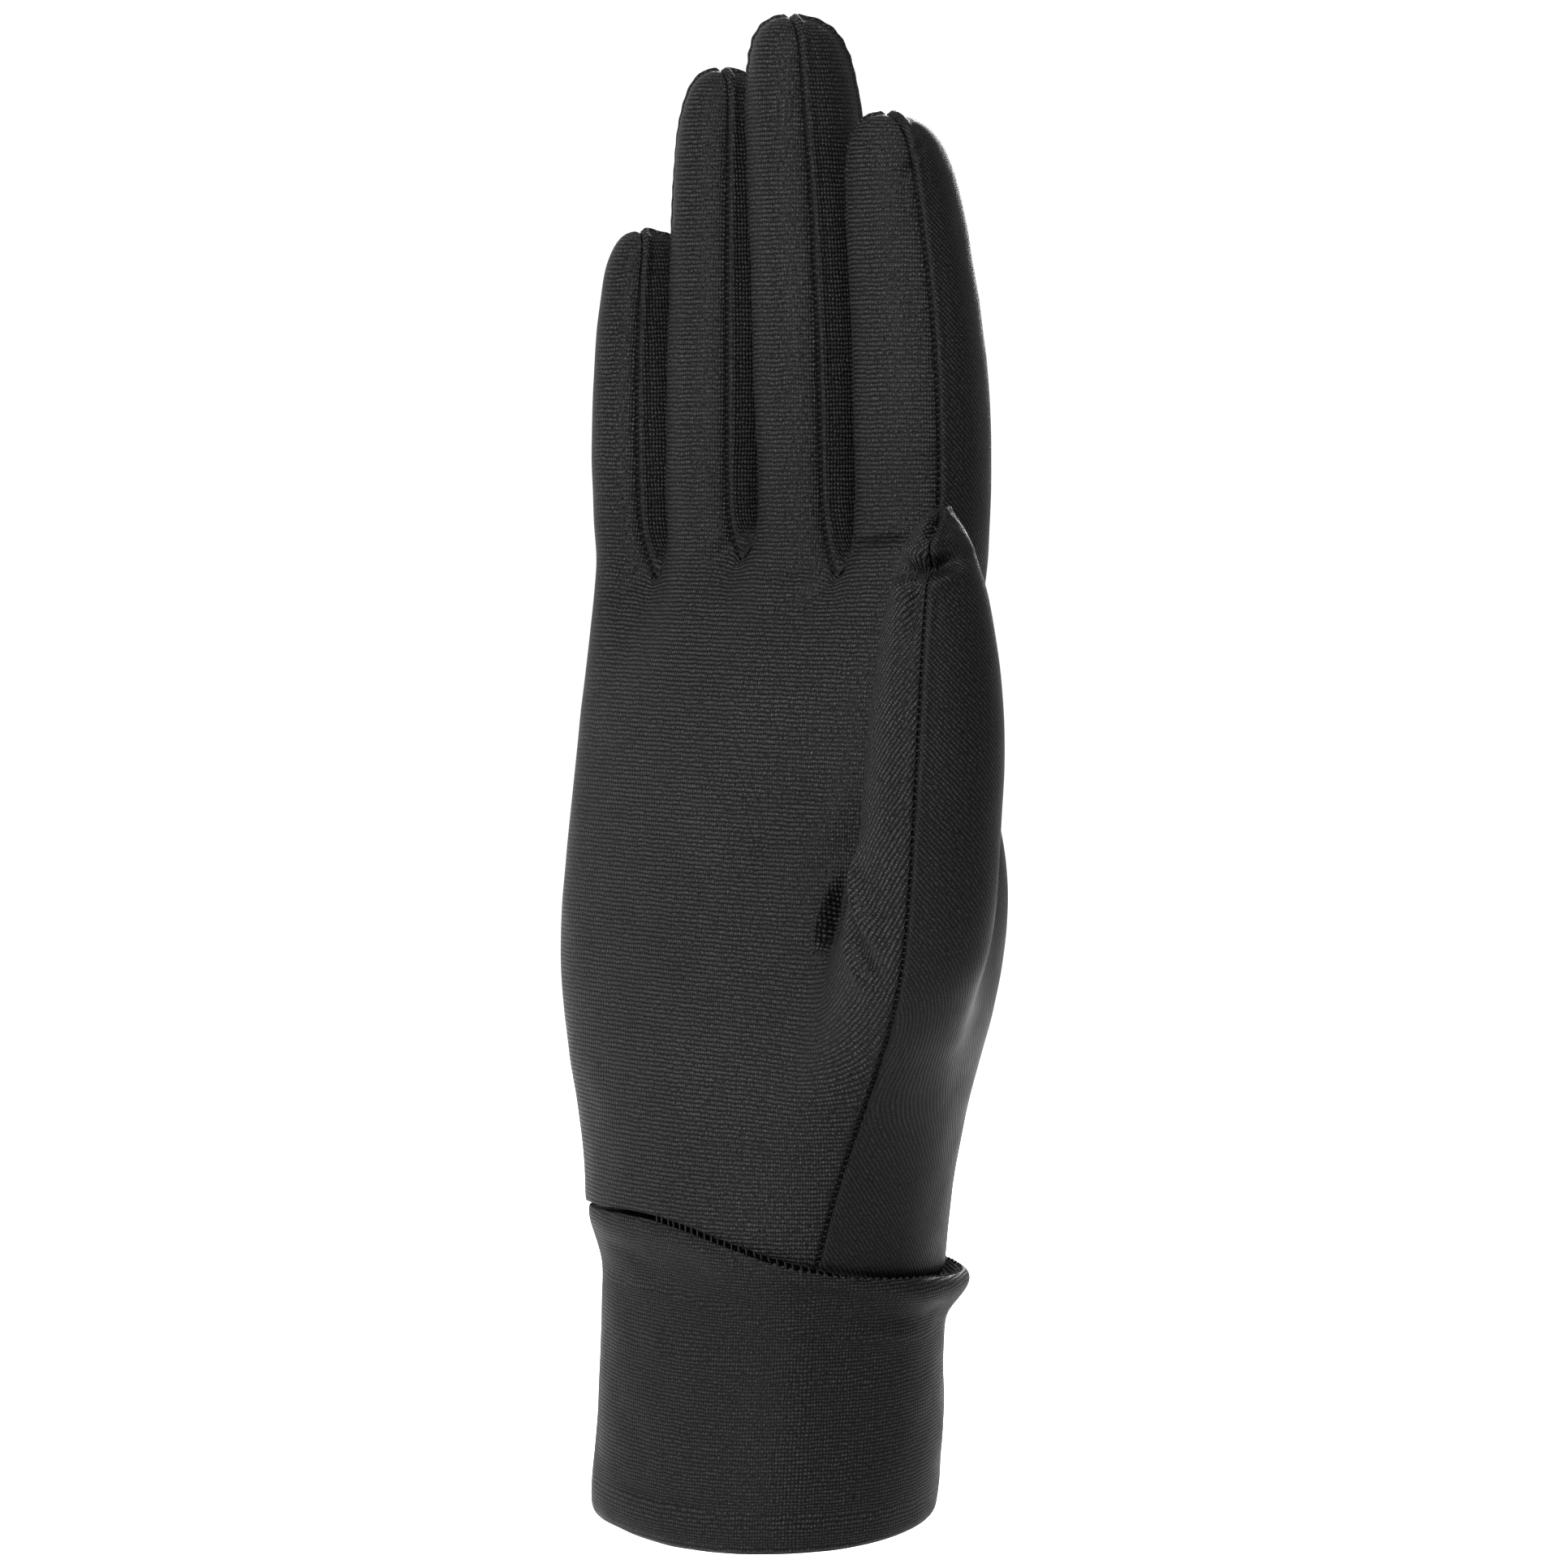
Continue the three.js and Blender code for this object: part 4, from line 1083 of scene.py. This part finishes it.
def add_bar(faces, base, rings, sides):
    """Joins rings of points that follow each other from base on, and closes both ends."""
    for ring in range(rings - 1):
        low, high = base + ring * sides, base + (ring + 1) * sides
        for step in range(sides):
            after = (step + 1) % sides
            faces.append((low + step, low + after, high + after, high + step))
    last = base + (rings - 1) * sides
    faces.append(tuple(base + step for step in range(sides))[::-1])
    faces.append(tuple(last + step for step in range(sides)))


def thread_bar(ends, normal, radius, points, faces):
    """Adds one thread: a short six-sided bar from end to end, bowed out in its middle."""
    first, last = ends
    along = unit(last - first)
    side = unit(np.cross(along, normal))
    up = np.cross(side, along)
    add_bar(faces, len(points), len(THREAD_BAR), THREAD_SIDES)
    for ring in THREAD_BAR:
        middle = lerp(first, last, ring.along) + up * ring.bow * radius
        for step in range(THREAD_SIDES):
            turn = step * math.tau / THREAD_SIDES
            points.append(middle + (side * math.cos(turn) + up * math.sin(turn)) * radius * ring.size)


def seam_threads(seams, surface):
    """Threads across every sewn seam between two panels."""
    random = np.random.default_rng(11)
    points, faces = [], []
    for seam in seams:
        line = seam.line
        for reached in np.arange(THREADS_FROM, line.length - THREADS_SHORT, SEAM_THREAD.pitch):
            reached = reached + random.uniform(-THREAD_JITTER, THREAD_JITTER)
            here, ahead = line.at(reached), line.at(reached + TANGENT_HALF)
            if near_tips(here[None])[0] > THREADS_END:
                continue
            place, normal, _, _ = surface.find_nearest(Vector(here))
            place, normal = np.array(place), np.array(normal)
            tangent = unit(ahead - here)
            across = unit(np.cross(tangent, normal))
            reach = across + tangent * SEAM_THREAD.slant
            middle = place - normal * SEAM_VALLEY
            half = reach * SEAM_THREAD.length / 2
            thread_bar((middle - half, middle + half), normal, SEAM_THREAD.radius, points, faces)
    return mesh_object("seam_threads", np.array(points), faces)


def seam_allowances(seams, surface):
    """The cut edges of two sewn panels, turned inwards: a band of cloth behind every seam."""
    points, faces = [], []
    for seam in seams:
        line = seam.line
        steps = np.linspace(0, line.length, max(3, int(line.length / ALLOWANCE_STEP)))
        add_bar(faces, len(points), len(steps), len(ALLOWANCE_CORNERS))
        for reached in steps:
            here = line.at(max(0.0, reached - TANGENT_HALF))
            ahead = line.at(min(line.length, reached + TANGENT_HALF))
            place, normal, _, _ = surface.find_nearest(Vector((here + ahead) / 2))
            normal = np.array(normal)
            across = unit(np.cross(unit(ahead - here), normal)) * ALLOWANCE_WIDTH / 2
            for side, depth in ALLOWANCE_CORNERS:
                points.append(np.array(place) + across * side - normal * depth)
    return mesh_object("seam_allowances", np.array(points), faces)


def wrist_threads(rims, surface, cuff_surface):
    """Threads that whip the glove's lower edge to the rolled top of the cuff."""
    random = np.random.default_rng(12)
    points, faces = [], []
    for line in rims:
        for reached in np.arange(0.0, line.length, WRIST_THREAD.pitch):
            reached = reached + random.uniform(-WRIST_JITTER, WRIST_JITTER)
            here = line.at(reached)
            out = unit(np.array((here[0], here[1], 0.0)))
            facing = float(out[:2] @ WRIST_TOWARDS)
            if facing < WRIST_THREAD_FROM:
                continue
            if facing > ROLL_STITCH_FROM:
                proud = (1 + facing) / 2
                outwards = out * (ROLL_OUT + ROLL_REACH * proud)
                above = here + outwards + np.array((0, 0, ROLL_REACH * proud ** 2 + ROLL_UP))
                place, normal, _, _ = cuff_surface.find_nearest(Vector(above))
                along = unit(np.cross((0, 0, 1.0), out)) + np.array((0, 0, ROLL_STITCH.slant))
                half = along * ROLL_STITCH.length / 2
                ends = (np.array(place) - half, np.array(place) + half)
                thread_bar(ends, np.array(normal), ROLL_STITCH.radius, points, faces)
            high = surface.find_nearest(Vector(here + np.array((0, 0, WHIP_ABOVE))))
            low = cuff_surface.find_nearest(Vector(here + out * WHIP_OUT - np.array((0, 0, WHIP_BELOW))))
            first = np.array(high[0]) + np.array(high[1]) * WRIST_THREAD.radius * WHIP_HIGH_LIFT
            last = np.array(low[0]) + np.array(low[1]) * WRIST_THREAD.radius * WHIP_LOW_LIFT
            around = np.cross((0, 0, 1.0), out) * WRIST_THREAD.slant * WRIST_THREAD.length
            normal = out + np.array((0, 0, WHIP_LEAN))
            thread_bar((first, last + around), normal, WRIST_THREAD.radius, points, faces)
    return mesh_object("wrist_threads", np.array(points), faces)


# Materials


class Nodes:
    """Short names for the shader nodes that the cloths share."""

    def __init__(self, material):
        material.use_nodes = True
        self.tree = material.node_tree
        self.shader = self.tree.nodes["Principled BSDF"]

    def add(self, kind, **settings):
        node = self.tree.nodes.new(kind)
        for name, value in settings.items():
            setattr(node, name, value)
        return node

    def link(self, source, target):
        self.tree.links.new(source, target)

    def math(self, operation, a, b=None, c=None):
        node = self.add("ShaderNodeMath", operation=operation)
        for socket, value in zip(node.inputs, (a, b, c)):
            if value is None:
                continue
            if isinstance(value, (int, float)):
                socket.default_value = value
            else:
                self.link(value, socket)
        return node.outputs[0]

    def noise(self, vector, scale, detail=2.0, roughness=0.5):
        node = self.add("ShaderNodeTexNoise")
        node.inputs["Scale"].default_value = scale
        node.inputs["Detail"].default_value = detail
        node.inputs["Roughness"].default_value = roughness
        self.link(vector, node.inputs["Vector"])
        return node.outputs["Fac"]

    def mix(self, share, a, b):
        node = self.add("ShaderNodeMix", data_type="RGBA")
        self.link(share, node.inputs["Factor"])
        for socket, value in ((node.inputs[6], a), (node.inputs[7], b)):
            if isinstance(value, tuple):
                socket.default_value = (*value, 1)
            else:
                self.link(value, socket)
        return node.outputs[2]


# A knit's look. course and wale are the heights and widths of a stitch in millimetres, ground the
# colour between the loops and loop the colour on them: between them they give the knit's own dark
# tone, the ground near black as painted shade in the gaps and the loop lighter as painted highlight
# on the loops' tops. dots is how far the rows break up into single loops, and turn is the angle of
# its rows in degrees.
Knit = namedtuple("Knit", "course wale ground loop relief roughness dots turn")
KNITS = {
    "palm_knit": Knit(0.68, 0.42, 0.001, 0.038, 0.22, 0.38, 0.75, 0),
    "back_knit": Knit(0.56, 0.42, 0.001, 0.015, 0.10, 0.44, 0.6, -50),
    "strip_knit": Knit(0.66, 0.50, 0.001, 0.028, 0.18, 0.48, 0.8, 0),
    "cuff_knit": Knit(0.56, 0.50, 0.001, 0.024, 0.15, 0.46, 0.8, 0),
}
KNIT_SPECULAR = 0.035
BLUE_SHARE = 1.02  # the blue of a knit, as a share of its red and green

# How a knit varies. The patches' scale is for metres of the glove and the others' for millimetres of
# the flat cloth.
WOBBLE_SCALE = 0.35
WOBBLE = 0.5
FINE_WOBBLE_SCALE = 1.7
FINE_WOBBLE = 0.22
# Painted glints: random loops lifted in colour as painted highlights, where specular glints on the yarn would
# be.
PAINTED_GLINT_SCALE = 2.4
PAINTED_GLINT_FROM = 0.36
PAINTED_GLINT_GAIN = 3.2
PAINTED_GLINT_MOST = 2.0
PATCH_SCALE = 45.0
PATCH_RANGE = 0.7
PATCH_LEAST = 0.65
ROUGHNESS_SCALE = 0.12
ROUGHNESS_RANGE = 0.25
ROUGHNESS_DROP = 0.12

THREAD_ROUGHNESS = 0.7
THREAD_SCALE = 1800.0
THREAD_SPECULAR = 0.02
THREAD_DARK = (0.003, 0.003, 0.003)
THREAD_LIGHT = (0.014, 0.014, 0.014)


def thread_material():
    """The dark thread of the seams, uneven along its length."""
    material = bpy.data.materials.new("seam_thread")
    n = Nodes(material)
    place = n.add("ShaderNodeTexCoord").outputs["Object"]
    colour = n.mix(n.noise(place, THREAD_SCALE), THREAD_DARK, THREAD_LIGHT)
    n.link(colour, n.shader.inputs["Base Color"])
    n.shader.inputs["Roughness"].default_value = THREAD_ROUGHNESS
    n.shader.inputs["Specular IOR Level"].default_value = THREAD_SPECULAR
    return material


def knit_material(name, knit):
    """Rows of loops that waver, with painted shade in the dark gaps between them and uneven painted glints on
    their tops.
    """
    material = bpy.data.materials.new(name)
    n = Nodes(material)
    uv = n.add("ShaderNodeUVMap", uv_map="cloth").outputs["UV"]
    if knit.turn:
        rotate = n.add("ShaderNodeVectorRotate", rotation_type="Z_AXIS")
        rotate.inputs["Angle"].default_value = math.radians(-knit.turn)
        n.link(uv, rotate.inputs["Vector"])
        uv = rotate.outputs["Vector"]
    split = n.add("ShaderNodeSeparateXYZ")
    n.link(uv, split.inputs[0])
    wobble = n.math("SUBTRACT", n.noise(uv, WOBBLE_SCALE), 0.5)
    fine_wobble = n.math("SUBTRACT", n.noise(uv, FINE_WOBBLE_SCALE, 1.0), 0.5)
    shift = n.math(
        "ADD", n.math("MULTIPLY", wobble, WOBBLE), n.math("MULTIPLY", fine_wobble, FINE_WOBBLE))
    u = n.math("ADD", split.outputs[0], shift)
    v = n.math("ADD", split.outputs[1], shift)
    rows = n.math("SINE", n.math("MULTIPLY", v, math.tau / knit.course))
    rows = n.math("MULTIPLY_ADD", rows, 0.5, 0.5)
    wales = n.math("SINE", n.math("MULTIPLY", u, math.tau / knit.wale))
    wales = n.math("MULTIPLY_ADD", wales, 0.5, 0.5)
    dots = n.math("MULTIPLY", rows, n.math("MULTIPLY_ADD", wales, knit.dots, 1 - knit.dots))
    # Painted glints: noise that lights up single loops in the base colour, as painted highlights.
    painted_glint = n.noise(uv, PAINTED_GLINT_SCALE, roughness=0.7)
    painted_glint = n.math("MULTIPLY", n.math("SUBTRACT", painted_glint, PAINTED_GLINT_FROM), PAINTED_GLINT_GAIN)
    painted_glint = n.math("MINIMUM", n.math("MAXIMUM", painted_glint, 0.0), PAINTED_GLINT_MOST)
    loops = n.math("MULTIPLY", dots, painted_glint)
    patches = n.noise(n.add("ShaderNodeTexCoord").outputs["Object"], PATCH_SCALE, 3.0)
    patches = n.math("MULTIPLY_ADD", patches, PATCH_RANGE, PATCH_LEAST)
    share = n.math("MINIMUM", n.math("MULTIPLY", loops, patches), 1.0)
    ground = (knit.ground, knit.ground, knit.ground * BLUE_SHARE)
    loop = (knit.loop, knit.loop, knit.loop * BLUE_SHARE)
    # The colour is painted light: shade in the gaps towards ground, and the lit loops and their glints
    # towards loop.
    n.link(n.mix(share, ground, loop), n.shader.inputs["Base Color"])
    uneven = n.noise(uv, ROUGHNESS_SCALE)
    uneven = n.math("MULTIPLY_ADD", uneven, ROUGHNESS_RANGE, knit.roughness - ROUGHNESS_DROP)
    n.link(uneven, n.shader.inputs["Roughness"])
    n.shader.inputs["Specular IOR Level"].default_value = KNIT_SPECULAR
    bump = n.add("ShaderNodeBump")
    bump.inputs["Strength"].default_value = 1.0
    bump.inputs["Distance"].default_value = knit.relief * MM
    n.link(dots, bump.inputs["Height"])
    n.link(bump.outputs["Normal"], n.shader.inputs["Normal"])
    return material


# Stage, light and camera
CAMERA_TURN = 47.0  # degrees round from straight in front of the palm, towards the thumb
CAMERA_RISE = 4.0
CAMERA_DISTANCE = 900.0
CAMERA_ASIDE = 3.2  # how far the aim stands to the camera's right of the glove's axis
CAMERA_AIM_HEIGHT = 116.3
PIXELS_PER_MM = 7.94
PICTURE_SIDE = 1932
SENSOR = 36.0

# Round soft lights, in metres from the camera's point of view: how far to its right of the glove, how
# far towards it, how high and how wide, and their power in watts
Light = namedtuple("Light", "aside ahead height size power")
LIGHTS = {
    "key": Light(-0.55, 0.55, 0.42, 0.22, 12.0),
    "front": Light(-0.1, 0.55, 0.7, 0.35, 9.5),
    "behind": Light(0.15, -0.75, 0.4, 0.4, 7.0),
}
EXPOSURE = 0.1
FLOOR_HALF_SIDE = 6.0
FLOOR_HEIGHT = -0.035
FLOOR_GREY = 0.95


def camera_axes():
    turn, rise = math.radians(CAMERA_TURN), math.radians(CAMERA_RISE)
    right = Vector((math.cos(turn), math.sin(turn), 0))
    back = Vector((math.sin(turn) * math.cos(rise), -math.cos(turn) * math.cos(rise), math.sin(rise)))
    return right, back


def aim_at(thing, towards):
    thing.rotation_mode = "QUATERNION"
    thing.rotation_quaternion = towards.to_track_quat("-Z", "Y")


def add_camera():
    right, back = camera_axes()
    data = bpy.data.cameras.new("camera")
    data.sensor_width = SENSOR
    data.lens = SENSOR * CAMERA_DISTANCE / (PICTURE_SIDE / PIXELS_PER_MM)
    camera = in_scene("camera", data)
    aim = right * CAMERA_ASIDE + Vector((0, 0, CAMERA_AIM_HEIGHT))
    camera.location = (aim + back * CAMERA_DISTANCE) * MM
    aim_at(camera, -back)
    bpy.context.scene.camera = camera


def add_light(name, light):
    """A light turned to the glove."""
    right, back = camera_axes()
    level = Vector((back.x, back.y, 0)).normalized()
    data = bpy.data.lights.new(name, "AREA")
    data.shape = "DISK"
    data.size = light.size
    data.energy = light.power
    lamp = in_scene(name, data)
    lamp.location = right * light.aside + level * light.ahead + Vector((0, 0, light.height))
    aim_at(lamp, Vector((0, 0, CAMERA_AIM_HEIGHT * MM)) - lamp.location)


def add_stage():
    world = bpy.data.worlds.new("studio")
    world.use_nodes = True
    background = world.node_tree.nodes["Background"]
    background.inputs["Color"].default_value = (1, 1, 1, 1)
    background.inputs["Strength"].default_value = 1.0
    bpy.context.scene.world = world
    mesh = bpy.data.meshes.new("floor")
    signs = ((-1, -1), (1, -1), (1, 1), (-1, 1))
    corners = [(x * FLOOR_HALF_SIDE, y * FLOOR_HALF_SIDE, FLOOR_HEIGHT) for x, y in signs]
    mesh.from_pydata(corners, [], [(0, 1, 2, 3)])
    floor = in_scene("floor", mesh)
    material = bpy.data.materials.new("floor")
    material.use_nodes = True
    shader = material.node_tree.nodes["Principled BSDF"]
    shader.inputs["Base Color"].default_value = (FLOOR_GREY, FLOOR_GREY, FLOOR_GREY, 1)
    shader.inputs["Roughness"].default_value = 0.9
    mesh.materials.append(material)
    for name, light in LIGHTS.items():
        add_light(name, light)
    view = bpy.context.scene.view_settings
    view.view_transform = "Standard"
    view.look = "None"
    view.exposure = EXPOSURE


add_camera()
add_stage()

panels_made, seams, rims, surface = glove_panels()
cuff, cuff_points, cuff_faces = cuff_tube()
threads = [
    seam_threads(seams, surface),
    seam_allowances(seams, surface),
    wrist_threads(rims, surface, surface_tree(cuff_points, cuff_faces)),
]
materials = {name: knit_material(name, knit) for name, knit in KNITS.items()}
SLOT_OF = {
    "palm_panel": "palm_knit", "back_panel": "back_knit", "strip_little_ring": "strip_knit",
    "strip_ring_middle": "strip_knit", "strip_middle_index": "strip_knit", "cuff": "cuff_knit",
}
for (piece, flat, area), node in zip([*panels_made, cuff], [*PANEL_NODES, "cuff"]):
    piece.data.materials.append(materials[SLOT_OF[node]])
    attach(piece, "root")
    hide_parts(node)
thread_finish = thread_material()
for piece in threads:
    piece.data.materials.append(thread_finish)
    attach(piece, "root")
